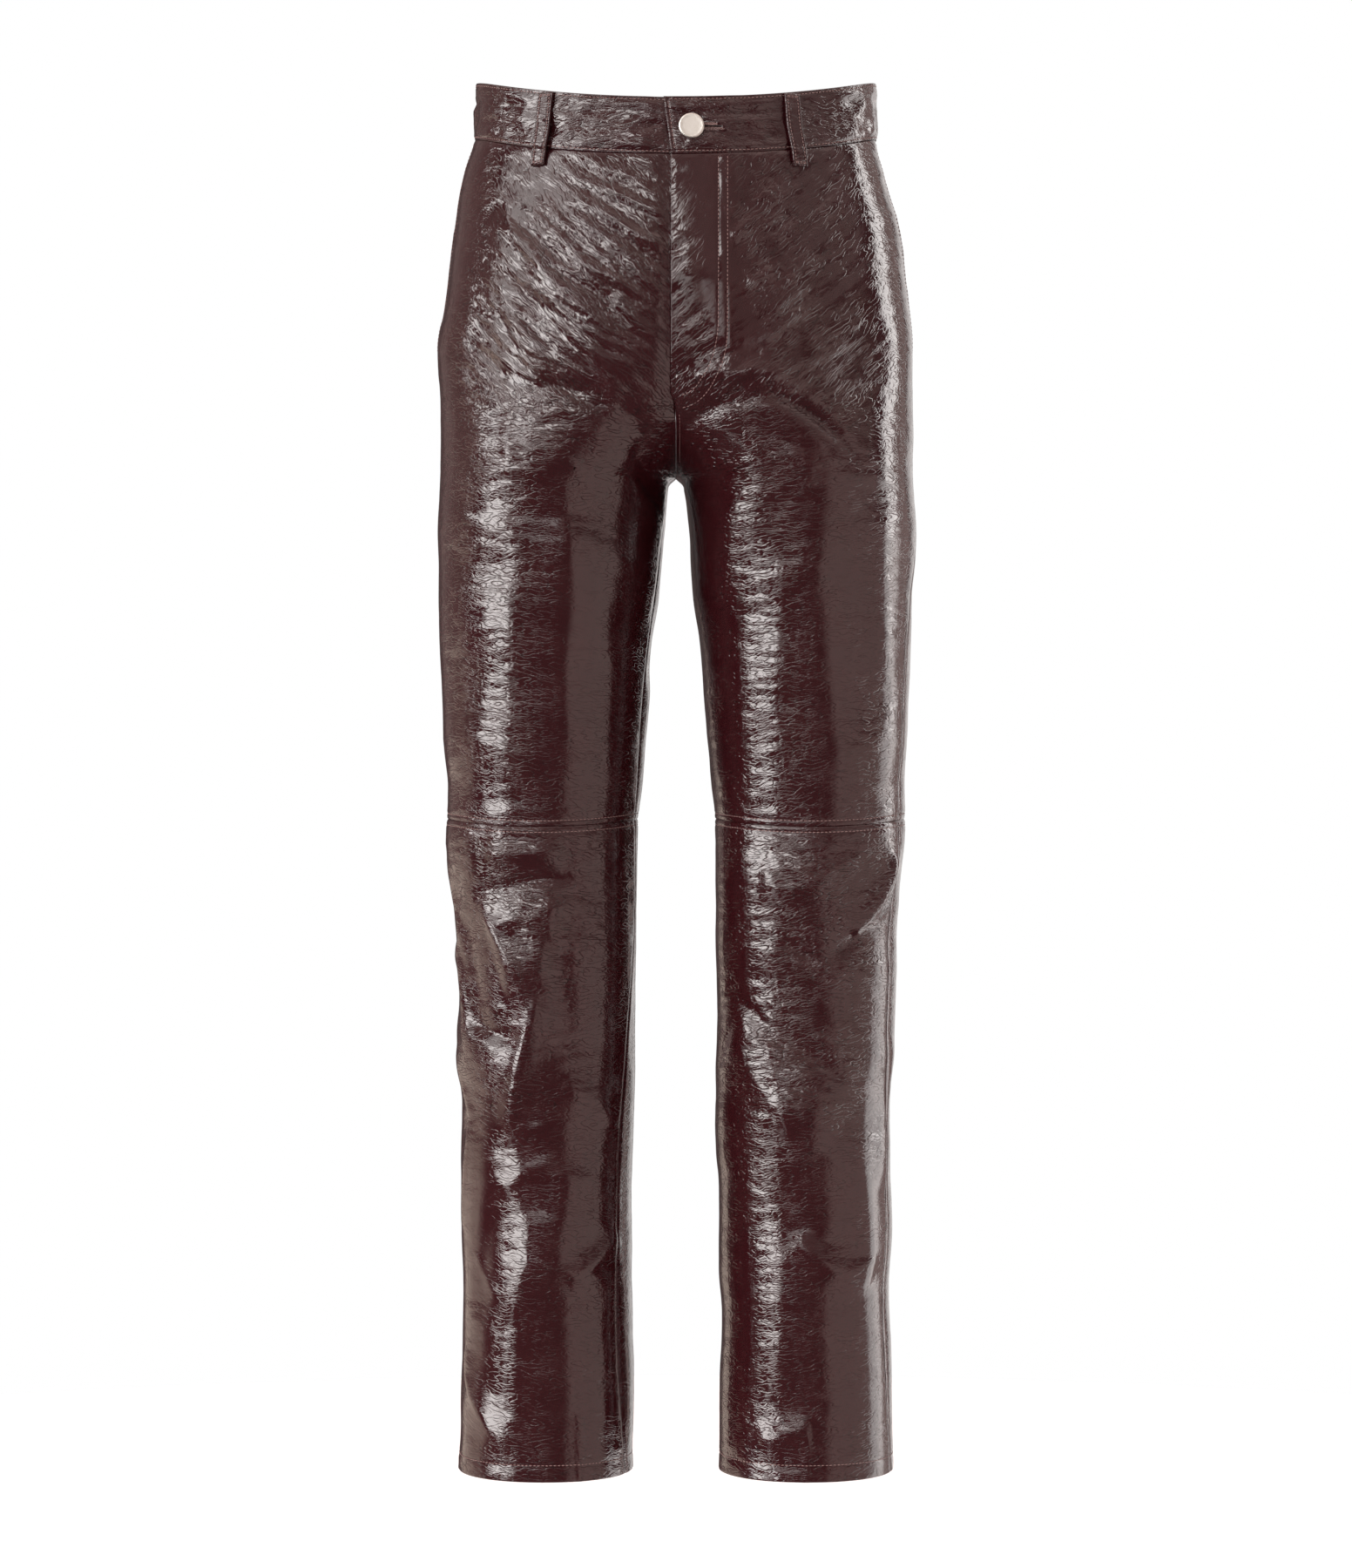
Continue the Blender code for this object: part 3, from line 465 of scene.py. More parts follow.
def lattice_noise(x: Grid, y: Grid, seed: int) -> Grid:
    """Return smooth noise from -1 to 1 over a plane.

    Every whole-numbered place has a value mixed from its two numbers and the seed, and between
    four such places the value is blended by fifth-power fades.

    Args:
        x: First coordinates, in lattice steps.
        y: Second coordinates.
        seed: Number of the noise.

    Returns:
        The noise at each place.
    """
    low_x, low_y = np.floor(x), np.floor(y)
    part_x, part_y = x - low_x, y - low_y
    fade_x = part_x**3 * (part_x * (part_x * 6.0 - 15.0) + 10.0)
    fade_y = part_y**3 * (part_y * (part_y * 6.0 - 15.0) + 10.0)
    column, row = low_x.astype(np.int64), low_y.astype(np.int64)

    def corner(right: int, up: int) -> Grid:
        """Value of the lattice at one of the four places round each point."""
        mixed = ((column + right) * 374761393 + (row + up) * 668265263 + seed * 144269504) & 0xFFFFFFFF
        mixed = ((mixed ^ (mixed >> 13)) * 1274126177) & 0xFFFFFFFF
        return (mixed ^ (mixed >> 16)) / 2147483647.5 - 1.0

    lower = corner(0, 0) + (corner(1, 0) - corner(0, 0)) * fade_x
    upper = corner(0, 1) + (corner(1, 1) - corner(0, 1)) * fade_x
    return lower + (upper - lower) * fade_y


class Column:
    """One half of the garment as a column of level sections, with its folds and creases."""

    def __init__(self, side: Side) -> None:
        """Keep the half and the rows of the tables that belong to it."""
        self.side = side
        self.folds, self.creases = (tuple(Fold(*row) for row in table[side]) for table in (FOLDS, CREASES))
        self.patches = tuple(Patch(*row) for row in PATCHES[side])

    def ellipse(self, heights: Grid) -> tuple[Grid, Grid, Grid, Grid]:
        """Return the middle and the half sizes of the section at each height."""
        levels = [row.height for row in SECTIONS]
        outer, inner, front, back = (
            smooth_read(levels, [getattr(row, name) for row in SECTIONS], heights)
            for name in ("outer", "inner", "front", "back")
        )
        return (outer + inner) / 2.0, (front + back) / 2.0, (outer - inner) / 2.0, (back - front) / 2.0

    def radius(self, heights: Grid) -> Grid:
        """Return the mean radius of the section at each height."""
        _, _, half_x, half_y = self.ellipse(heights)
        return (half_x + half_y) / 2.0

    def turn(self, heights: Grid) -> Grid:
        """Return how many degrees the leg's seams are turned at each height."""
        turned = [getattr(row, self.side.value) for row in TURNS]
        return smooth_read([row.height for row in TURNS], turned, heights)

    def angle_of(self, across: Grid, heights: Grid) -> Grid:
        """Return the front angle at which the column stands at a distance from the centre line."""
        middle_x, _, half_x, _ = self.ellipse(heights)
        ratio = np.clip((across - middle_x) / half_x, -1.0, 1.0)
        return np.degrees(np.arccos(np.sign(ratio) * np.abs(ratio) ** (SQUARENESS / 2.0)))

    def plan(self, angles: Grid, heights: Grid) -> tuple[Grid, Grid, Grid, Grid]:
        """Return x, y of the bare column and its level outward normal.

        A section is a squared ellipse: each coordinate is its half size times the cosine or
        sine raised to 2 / SQUARENESS. Cloth that laps past the centre line in front lies on the
        other half, so it mirrors it.

        Args:
            angles: Degrees round the column.
            heights: Heights.

        Returns:
            The two coordinates and the two parts of the normal.
        """
        middle_x, middle_y, half_x, half_y = self.ellipse(heights)
        power = 2.0 / SQUARENESS
        cosine = np.cos(np.radians(angles))
        x = middle_x + half_x * np.sign(cosine) * np.abs(cosine) ** power
        lapped = (x < 0.0) & (np.asarray(angles) > 0.0)
        turned = np.radians(np.where(lapped, self.angle_of(np.abs(x), heights), angles))
        cosine, sine = np.cos(turned), np.sin(turned)
        y = middle_y - half_y * np.sign(sine) * np.abs(sine) ** power
        normal_x = np.sign(cosine) * np.abs(cosine) ** (2.0 - power) / half_x
        normal_y = -np.sign(sine) * np.abs(sine) ** (2.0 - power) / half_y
        length = np.hypot(normal_x, normal_y)
        return x, y, np.where(lapped, -1.0, 1.0) * normal_x / length, normal_y / length

    def even_angles(
        self, first: Grid, last: Grid | float, heights: Grid, shares: Grid, count: int = DENSE
    ) -> Grid:
        """Return angles at even shares of the cloth's length between two seams.

        Each section is measured with a count of samples, and the wanted length, just inside the
        seams, is read back from their running sum.

        Args:
            first: Degrees at share 0.
            last: Degrees at share 1.
            heights: Heights.
            shares: Shares of the length.
            count: Number of samples.

        Returns:
            Degrees round the column.
        """
        span = last - first
        dense = first[..., None] + span[..., None] * np.linspace(0.0, 1.0, count)
        x, y, _, _ = self.plan(dense, np.broadcast_to(heights[..., None], dense.shape))
        pieces = np.hypot(np.diff(x, axis=-1), np.diff(y, axis=-1))
        run = np.concatenate((np.zeros(pieces.shape[:-1] + (1,)), np.cumsum(pieces, axis=-1)), axis=-1)
        target = SEAM_GAP / 2.0 + shares * (run[..., -1] - SEAM_GAP)
        place = np.clip((run < target[..., None]).sum(axis=-1) - 1, 0, count - 2)
        low = np.take_along_axis(run, place[..., None], axis=-1)[..., 0]
        high = np.take_along_axis(run, place[..., None] + 1, axis=-1)[..., 0]
        return first + span * (place + (target - low) / (high - low)) / (count - 1)

    def along_folds(self, folds: Sequence[Fold], angles: Grid, heights: Grid, sharp: float) -> Grid:
        """Add up ridges and troughs.

        Each rises by its height times e to the power of minus twice (the root of the squared distance
        in widths plus sharp squared, less sharp), or of minus the squared distance in widths where sharp is
        0, and fades to its ends.

        Args:
            folds: The ridges and troughs.
            angles: Degrees round the column.
            heights: Heights.
            sharp: 0 gives a round bell, and more gives a crest with straighter flanks.

        Returns:
            How far the cloth is moved out.
        """
        radius = self.radius(heights)
        total = np.zeros(np.broadcast(angles, heights).shape)
        for fold in folds:
            run_angle = np.radians(fold.to_angle - fold.from_angle) * radius
            run_height = fold.to_height - fold.from_height
            turned = (angles - fold.from_angle + 180.0) % 360.0 - 180.0
            off_angle = np.radians(turned) * radius
            off_height = heights - fold.from_height
            length = np.hypot(run_angle, run_height)
            along = (off_angle * run_angle + off_height * run_height) / length**2
            across = (off_angle * run_height - off_height * run_angle) / length
            inside = np.clip(along, 0.0, 1.0)
            across = across - fold.bow * 4.0 * inside * (1.0 - inside)
            beyond = (along - inside) * length
            ends = 1.0 - (2.0 * inside - 1.0) ** 4
            squared = (across**2 + beyond**2) / fold.width**2
            fall = squared if sharp == 0.0 else 2.0 * (np.sqrt(squared + sharp**2) - sharp)
            total = total + fold.height * ends * np.exp(-fall)
        return total

    def work(self, angles: Grid, heights: Grid) -> Grid:
        """Return how crumpled the cloth is at each place, from 0 to about 1."""
        total = np.full(np.broadcast(angles, heights).shape, BASE_WORK)
        for patch in self.patches:
            turned = (angles - patch.angle + 180.0) % 360.0 - 180.0
            total = total + patch.work * bell(turned, patch.angle_reach) * bell(
                heights - patch.height, patch.height_reach
            )
        return np.clip(total, 0.08, 1.1)

    def drag(self, angles: Grid, heights: Grid) -> Grid:
        """Return 1 where the cloth is dragged aslant, above the thighs, and 0 down the legs."""
        around = np.abs((angles + 180.0) % 360.0 - 180.0)
        return fade(heights, -262.0, -196.0) * fade(heights, -18.0, -40.0) * fade(around, 20.0, 44.0)

    def cockle(self, angles: Grid, heights: Grid) -> Grid:
        """Return the small uneven waves of the crumpled coating.

        They are lattice noise stretched along the creases, aslant above the thighs and level
        below, with a share folded into crests by taking 1 less its size.

        Args:
            angles: Degrees round the column.
            heights: Heights.

        Returns:
            How far the cloth is moved out.
        """
        seed = 11 if self.side is Side.LEFT else 47
        run = np.abs(np.radians(angles)) * self.radius(heights)
        level = heights + np.zeros_like(run)
        aslant = self.drag(angles, heights)
        waves, slow = np.zeros_like(run), np.zeros_like(run)
        for share, tilt in ((aslant, math.radians(-52.0)), (1.0 - aslant, math.radians(-7.0))):
            along = run * math.cos(tilt) + level * math.sin(tilt)
            across = level * math.cos(tilt) - run * math.sin(tilt)
            wander = 5.0 * lattice_noise(along / 31.0, across / 24.0, seed)
            vast = lattice_noise(along / 110.0, (across + wander) / 46.0, seed + 5)
            broad = lattice_noise(along / 60.0, (across + wander) / 22.0, seed + 1)
            middle = lattice_noise(along / 26.0, (across + wander) / 8.6, seed + 2)
            crest = 1.0 - np.abs(lattice_noise(along / 34.0, (across + wander) / 12.0, seed + 3)) * 2.0
            waves = waves + share * (0.55 * broad + 0.15 * middle + 0.22 * crest)
            slow = slow + share * vast
        calm = np.where(np.asarray(heights) > waist_seam(angles), 0.30, 1.0)
        work = self.work(angles, heights)
        return (waves * work + 2.0 * slow * np.minimum(work * 2.5, 1.0)) * calm

    def relief(self, angles: Grid, heights: Grid) -> Grid:
        """Return folds, creases and cockles together, still where two halves or panels meet."""
        heights = np.asarray(heights, float)
        x = self.plan(angles, heights)[0]
        inside_leg = np.abs(np.abs(angles - self.turn(heights)) - 180.0)
        to_inside = np.radians(inside_leg) * self.radius(heights)
        still = np.where(heights > CROTCH - 8.0, fade(np.abs(x), 0.0, 14.0), 1.0)
        joined = np.where(heights > CROTCH, 1.0, fade(to_inside, 0.0, 12.0))
        fine = self.along_folds(self.creases, angles, heights, 0.5) + self.cockle(angles, heights)
        return still * (self.along_folds(self.folds, angles, heights, 0.0) + joined * fine)

    def surface(self, angles: Grid, heights: Grid, offset: Grid | float = 0.0) -> Grid:
        """Return the points of the cloth, moved out by an offset.

        Args:
            angles: Degrees round the column.
            heights: Heights.
            offset: How far outside the cloth's own surface the points lie.

        Returns:
            An array of x, y and z.
        """
        x, y, normal_x, normal_y = self.plan(angles, heights)
        out = self.relief(angles, heights) + offset
        return np.stack(
            (self.side.sign * (x + normal_x * out), y + normal_y * out, np.broadcast_to(heights, x.shape)), -1
        )


COLUMNS = {side: Column(side) for side in Side}


def waist_top(angles: Grid) -> Grid:
    """Height of the waistband's top edge, lowest at the centre front."""
    return WAIST_TOP - WAIST_DIP * np.maximum(0.0, np.sin(np.radians(angles))) ** WAIST_DIP_POWER


def waist_seam(angles: Grid) -> Grid:
    """Height of the seam below the waistband."""
    return waist_top(angles) - BAND_HEIGHT


def knee_seam(angles: Grid) -> Grid:
    """Height of the seam across the knee, which hangs a little in front."""
    return KNEE - KNEE_DIP * np.maximum(0.0, np.sin(np.radians(angles))) ** 2


def hem_line(angles: Grid) -> Grid:
    """Height of the level hem."""
    return np.full(np.shape(angles), HEM)


def ladder(length: float, count: int, edge: Sequence[float] = NEAR_EDGE) -> Grid:
    """Return distances from 0 to a length, close together at both ends and even between."""
    near = np.array(edge)
    middle = np.linspace(near[-1], length - near[-1], count - 2 * len(near) + 2)
    return np.concatenate((near, middle[1:-1], length - near[::-1]))


def rounded(distance: Grid, radius: float = EDGE_ROUND) -> Grid:
    """Return how far a quarter round of that radius falls away at these distances from the edge."""
    inside = np.clip(radius - distance, 0.0, radius)
    return radius - np.sqrt(radius**2 - inside**2)


def sunk_edge(distance: Grid, stitched: float | None = None, turned: float = EDGE_ROUND) -> Grid:
    """Return how far cloth is let in near an edge.

    A quarter round at the edge itself, a bell of SEAM_SINK beside it, and, where the edge is
    topstitched, a bell of STITCH_SINK below the thread.

    Args:
        distance: Distance from the edge.
        stitched: The topstitching's distance from the edge, if it has any.
        turned: Radius of the quarter round.

    Returns:
        The depth.
    """
    depth = rounded(distance, turned) + SEAM_SINK * bell(distance, SEAM_REACH)
    if stitched is not None:
        depth = depth + STITCH_SINK * bell(distance - stitched, STITCH_REACH)
    return depth


def pucker(distance: Grid, run: Grid, reach: float, seed: int) -> Grid:
    """Return the small waves that gathered sewing leaves beside a seam, along its run."""
    broad = lattice_noise(run / 5.2, distance / 9.0, seed)
    fine = lattice_noise(run / 2.9, distance / 5.0, seed + 1)
    return 0.34 * (0.6 * broad + 0.4 * fine) * np.exp(-distance / reach) * fade(distance, 0.0, 1.0)


class Cut(NamedTuple):
    """The flat size of a piece of cloth, in metres, and its area in square metres."""

    width: float
    length: float
    area: float


def cut_of(points: Grid) -> Cut:
    """Measure a grid of points as a flat piece: its widest row, its longest column and its area."""
    across = np.linalg.norm(np.diff(points, axis=1), axis=-1)
    down = np.linalg.norm(np.diff(points, axis=0), axis=-1)
    first = np.cross(points[1:, :-1] - points[:-1, :-1], points[:-1, 1:] - points[:-1, :-1])
    second = np.cross(points[:-1, 1:] - points[1:, 1:], points[1:, :-1] - points[1:, 1:])
    area = 0.5 * float(np.linalg.norm(first, axis=-1).sum() + np.linalg.norm(second, axis=-1).sum())
    sizes = (across.sum(axis=1).max(), down.sum(axis=0).max())
    width, length = (round(float(size) * MM, 3) for size in sizes)
    return Cut(width, length, min(area * MM * MM, width * length))


@dataclass
class Shell:
    """A grid of outer points and the same grid of inner points, with what the finish reads."""

    outer: Grid
    inner: Grid
    flat: Grid
    marks: dict[str, Grid] = field(default_factory=dict)


def make_mesh(name: str, points: Grid, faces: Sequence[Grid]) -> Piece:
    """Put points and faces into a mesh whose faces point outwards.

    Args:
        name: Name of the object.
        points: Points in millimetres.
        faces: Arrays of faces, each with its own number of corners.

    Returns:
        The object, linked to the scene.
    """
    volume = 0.0
    for group in faces:
        for last in range(2, group.shape[1]):
            a, b, c = (points[group[:, corner]] for corner in (0, last - 1, last))
            volume += float(np.einsum("ij,ij->", a, np.cross(b, c)))
    ordered = [group if volume > 0.0 else group[:, ::-1] for group in faces]
    loops = np.concatenate([group.ravel() for group in ordered]).astype(np.int32)
    sizes = np.concatenate([np.full(len(group), group.shape[1]) for group in ordered])
    starts = np.concatenate(([0], np.cumsum(sizes)[:-1])).astype(np.int32)
    mesh = bpy.data.meshes.new(name)
    mesh.vertices.add(len(points))
    mesh.vertices.foreach_set("co", (points * MM).astype(np.float32).ravel())
    mesh.loops.add(len(loops))
    mesh.loops.foreach_set("vertex_index", loops)
    mesh.polygons.add(len(sizes))
    mesh.polygons.foreach_set("loop_start", starts)
    mesh.update(calc_edges=True)
    mesh.shade_smooth()
    item = bpy.data.objects.new(name, mesh)
    bpy.context.collection.objects.link(item)
    return item


def add_flat_map(item: Piece, flat: Grid, name: str = "flat") -> None:
    """Give a mesh a UV map in metres from one pair of numbers for each point."""
    mesh = item.data
    corners = np.empty(len(mesh.loops), np.int32)
    mesh.loops.foreach_get("vertex_index", corners)
    layer = mesh.uv_layers.new(name=name)
    layer.data.foreach_set("uv", flat[corners].astype(np.float32).ravel())


def add_marks(item: Piece, marks: dict[str, Grid]) -> None:
    """Give a mesh named numbers, one for each point."""
    for name, values in marks.items():
        attribute = item.data.attributes.new(name, "FLOAT", "POINT")
        attribute.data.foreach_set("value", values.astype(np.float32).ravel())


def make_shell(name: str, shell: Shell, outside: Material, inside: Material) -> Piece:
    """Make a closed wall between two grids of points, its rim dressed like its outside.

    Args:
        name: Name of the piece.
        shell: Its grids.
        outside: Finish of the outer face and the rim.
        inside: Finish of the inner face.

    Returns:
        The piece.
    """
    rows, columns = shell.outer.shape[:2]
    count = rows * columns
    index = np.arange(count).reshape(rows, columns)
    quads = np.stack((index[:-1, :-1], index[1:, :-1], index[1:, 1:], index[:-1, 1:]), -1).reshape(-1, 4)
    rim = np.concatenate((index[0, :-1], index[:-1, -1], index[-1, :0:-1], index[:0:-1, 0]))
    there = np.roll(rim, -1)
    edge = np.stack((rim, there, there + count, rim + count), -1)
    points = np.concatenate((shell.outer.reshape(-1, 3), shell.inner.reshape(-1, 3)))
    item = make_mesh(name, points, [np.concatenate((quads, edge, quads[:, ::-1] + count))])
    finish = np.zeros(len(item.data.polygons), np.int32)
    finish[len(quads) + len(edge):] = 1
    item.data.materials.append(outside)
    item.data.materials.append(inside)
    item.data.polygons.foreach_set("material_index", finish)
    item.data.set_sharp_from_angle(angle=math.radians(55.0))
    add_flat_map(item, np.tile(shell.flat.reshape(-1, 2) * MM, (2, 1)))
    add_marks(item, {key: np.tile(values.ravel(), 2) for key, values in shell.marks.items()})
    return item


def own(item: Piece, slot: str, *nodes: str) -> Piece:
    """Let a piece ride on the garment and stand for its nodes."""
    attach(item, BODY)
    if nodes:
        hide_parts(*nodes)
    LOG.info("%s: %d faces", item.name, len(item.data.polygons))
    return item


def lay_cloth(
    node: str, shell: Shell, finishes: tuple[Material, Material], slot: str
) -> Piece:
    """Make a piece of cloth that stands for its node, and log its cut.

    Args:
        node: Name of the node.
        shell: The piece's grids.
        finishes: Finishes of its outside and its inside.
        slot: Name of a material slot; not used.

    Returns:
        The piece.
    """
    item = own(make_shell(f"{node}_cloth", shell, *finishes), slot, node)
    cut = cut_of(shell.outer)
    LOG.info("%s cut %.0f x %.0f mm", node, cut.width / MM, cut.length / MM)
    return item


# ---------------------------------------------------------------- finishes


class Wire:
    """A shader socket that takes part in arithmetic: each operator adds a Math node."""

    def __init__(self, graph: "Graph", socket: bpy.types.NodeSocket) -> None:
        """Keep the graph and its output socket."""
        self.graph = graph
        self.socket = socket

    def _math(self, operation: str, *values: "Wire | float") -> "Wire":
        """Add a Math node with these inputs."""
        return self.graph.node("ShaderNodeMath", {"operation": operation}, dict(enumerate(values)))

    def __add__(self, other: "Wire | float") -> "Wire":
        """Sum."""
        return self._math("ADD", self, other)

    __radd__ = __add__

    def __sub__(self, other: "Wire | float") -> "Wire":
        """Difference."""
        return self._math("SUBTRACT", self, other)

    def __rsub__(self, other: "Wire | float") -> "Wire":
        """Difference from a number."""
        return self._math("SUBTRACT", other, self)

    def __mul__(self, other: "Wire | float") -> "Wire":
        """Product."""
        return self._math("MULTIPLY", self, other)

    __rmul__ = __mul__

    def __abs__(self) -> "Wire":
        """Size without its sign."""
        return self._math("ABSOLUTE", self)

    def most(self, other: "Wire | float") -> "Wire":
        """The larger of two values."""
        return self._math("MAXIMUM", self, other)

    def turn_from(self, other: "Wire | float") -> "Wire":
        """Angle in radians whose tangent is this value over the other."""
        return self._math("ARCTAN2", self, other)

    def step(self, low: float, high: float) -> "Wire":
        """Rise smoothly from 0 at low to 1 at high, or fall where low is the larger."""
        settings = {"interpolation_type": "SMOOTHSTEP", "clamp": True}
        stops = {1: low, 2: high} if low < high else {1: high, 2: low, 3: 1.0, 4: 0.0}
        return self.graph.node("ShaderNodeMapRange", settings, {"Value": self, **stops})


class Graph:
    """A node tree that is built one node at a time."""

    def __init__(self, tree: bpy.types.NodeTree) -> None:
        """Keep the tree and clear it."""
        self.tree = tree
        tree.nodes.clear()

    def node(self, kind: str, settings: Values = None, sockets: Values = None, out: Any = 0) -> Wire:
        """Add a node.

        Args:
            kind: Its type.
            settings: Its own settings, set first.
            sockets: Values or wires by the socket's name or number.
            out: Name or number of the output to return.

        Returns:
            That output as a wire.
        """
        made = self.tree.nodes.new(kind)
        for name, value in (settings or {}).items():
            setattr(made, name, value)
        for key, value in (sockets or {}).items():
            if isinstance(value, Wire):
                self.tree.links.new(value.socket, made.inputs[key])
            else:
                made.inputs[key].default_value = value
        return Wire(self, made.outputs[out] if made.outputs else made.inputs[0])

    def mark(self, name: str) -> Wire:
        """Read a number kept at each point of the mesh."""
        return self.node("ShaderNodeAttribute", {"attribute_name": name}, out="Fac")

    def flat_map(self) -> Wire:
        """Read the mesh's flat coordinates."""
        return self.node("ShaderNodeUVMap", {"uv_map": "flat"}, out="UV")

    def own_place(self) -> Wire:
        """Read the place in the piece's own frame."""
        return self.node("ShaderNodeTexCoord", out="Object")

    def times(self, place: Wire, scale: tuple[float, float, float]) -> Wire:
        """Stretch a place along its three axes."""
        return self.node("ShaderNodeVectorMath", {"operation": "MULTIPLY"}, {0: place, 1: scale})

    def turned(self, place: Wire, angle: float) -> Wire:
        """Turn a flat place by an angle."""
        sockets = {"Vector": place, "Rotation": (0.0, 0.0, angle)}
        return self.node("ShaderNodeMapping", {"vector_type": "POINT"}, sockets)

    def noise(
        self, place: Wire, scale: float, detail: float = 0.0, flat: bool = False, out: str = "Fac"
    ) -> Wire:
        """Return noise of so many lattice steps a unit, level noise on a flat place."""
        settings = {"noise_dimensions": "2D"} if flat else None
        sockets = {"Vector": place, "Scale": scale, "Detail": detail}
        return self.node("ShaderNodeTexNoise", settings, sockets, out)

    def bands(self, place: Wire, direction: str, **sockets: float) -> Wire:
        """Return the waves of parallel bands across a direction."""
        settings = {"wave_type": "BANDS", "bands_direction": direction}
        return self.node("ShaderNodeTexWave", settings, {"Vector": place, **sockets}, out="Fac")

    def mixed(self, share: Wire | float, first: Any, second: Any) -> Wire:
        """Mix two colours, given as wires or as red, green and blue."""
        first, second = (value if isinstance(value, Wire) else opaque(value) for value in (first, second))
        return self.node("ShaderNodeMix", {"data_type": "RGBA"}, {0: share, 6: first, 7: second}, out=2)

    def bump(self, height: Wire, strength: float, distance: float) -> Wire:
        """Return the normal tilted by a height."""
        sockets = {"Strength": strength, "Distance": distance, "Height": height}
        return self.node("ShaderNodeBump", None, sockets)

    def dress(self, sockets: dict[str, Any]) -> None:
        """Close the material with a Principled shader."""
        shader = self.node("ShaderNodeBsdfPrincipled", None, sockets)
        self.node("ShaderNodeOutputMaterial", None, {"Surface": shader})


def opaque(colour: Colour) -> tuple[float, float, float, float]:
    """Return a colour with full cover."""
    return (*colour, 1.0)


def new_material(name: str) -> tuple[Material, Graph]:
    """Return a new material and its empty graph."""
    material = bpy.data.materials.new(name)
    material.use_nodes = True
    return material, Graph(material.node_tree)


@dataclass(frozen=True)
class PatentCoating:
    """High-gloss coating on cloth, crushed into fine crinkles with a sharp crease round each.

    Sizes across the cloth are in metres, and heights in millimetres.
    """

    base: Colour = (0.0260, 0.0042, 0.0056)
    bloom: Colour = (0.0350, 0.0078, 0.0090)
    # Painted shade: a darker colour painted into the crease lines
    painted_crease_shade: Colour = (0.0100, 0.0018, 0.0024)
    refraction: float = 1.72
    gloss: float = 0.06
    along: float = 0.0098       # size of a crinkle along its creases
    across: float = 0.0030      # and across them
    wander: float = 0.0026      # how far the creases stray
    level: float = 4.0          # direction of the creases down the legs, in degrees
    aslant: float = 38.0        # and above the thighs
    plate: float = 0.26         # share of a crinkle's height at which it flattens out
    ridge: float = 0.062        # height of a crinkle
    groove: float = 0.13        # depth of a crease
    crease: float = 0.11        # share of a crinkle's height at which its crease begins
    swell: float = 0.30         # height of the broader waves down the legs
    streak: float = 0.55        # and how much higher they are above the thighs
    calm: float = 0.16          # crinkling of the calmest cloth
    gain: float = 1.9
    cloudy: float = 38.0        # patches of stronger crinkling to the metre
    patchy: float = 95.0        # and of deeper creases
    grain: float = 700.0        # the coating's own fine unevenness, to the metre
    grain_height: float = 0.004

    def waves(self, graph: Graph, place: Wire, drag: Wire, size: float, turn: float) -> Wire:
        """Return noise stretched along the creases, from about -0.5 to 0.5.

        Args:
            graph: The material's graph.
            place: Flat coordinates.
            drag: 1 where the creases run aslant and 0 where they are level.
            size: Share of the crinkle's size.
            turn: Degrees by which this layer is turned from the others.

        Returns:
            The noise.
        """
        layers = []
        for degrees, longer in ((self.level, 1.0), (self.aslant, 1.6)):
            scale = (1.0 / (self.along * size * longer), 1.0 / (self.across * size), 0.0)
            scaled = graph.times(graph.turned(place, math.radians(degrees + turn)), scale)
            layers.append(graph.noise(scaled, 1.0, flat=True) * 2.0 - 1.0)
        return layers[0] + (layers[1] - layers[0]) * drag

    def material(self) -> Material:
        """Return the finish as a node material."""
        material, graph = new_material("patent_coating")
        flat = graph.flat_map()
        work, drag = graph.mark("work"), graph.mark("drag")
        drift = graph.noise(flat, self.patchy, 1.0, flat=True, out="Color")
        pushed = {0: drift, 1: (self.wander, self.wander, 0.0), 2: flat}
        place = graph.node("ShaderNodeVectorMath", {"operation": "MULTIPLY_ADD"}, pushed)
        large, fine, broad = (
            self.waves(graph, place, drag, size, turn)
            for size, turn in ((1.0, 0.0), (0.55, 9.0), (2.2, -6.0))
        )
        spread = graph.noise(flat, self.cloudy, 3.0, flat=True)
        lines = graph.noise(flat, self.patchy, flat=True)
        strength = (work * (spread * 3.0 - 0.75).most(0.08) + work.step(0.0, 0.4) * self.calm) * self.gain
        creased = abs(large).step(self.crease, 0.0) * (lines.step(0.40, 0.56) * 0.75 + 0.25)
        nicked = abs(fine).step(self.crease * 1.5, 0.0) * (lines.step(0.60, 0.44) * 0.75 + 0.25)
        height = abs(large).step(0.0, self.plate) * self.ridge - creased * self.groove
        height = height + abs(fine).step(0.0, self.plate) * (self.ridge * 0.28)
        height = height - nicked * (self.groove * 0.33)
        height = (height + broad * (drag * self.streak + self.swell)) * strength
        height = height + graph.noise(flat, self.grain, flat=True) * self.grain_height
        colour = graph.mixed(spread.step(0.3, 0.7) * 0.5, self.base, self.bloom)
        graph.dress({
            # The crease lines are darkened here with painted shade
            "Base Color": graph.mixed(creased * strength.step(0.1, 0.6) * 0.6, colour, self.painted_crease_shade),
            "Roughness": self.gloss + creased * 0.10 + (spread - 0.5) * 0.05,
            "IOR": self.refraction,
            "Normal": graph.bump(height, 1.0, MM),
        })
        return material


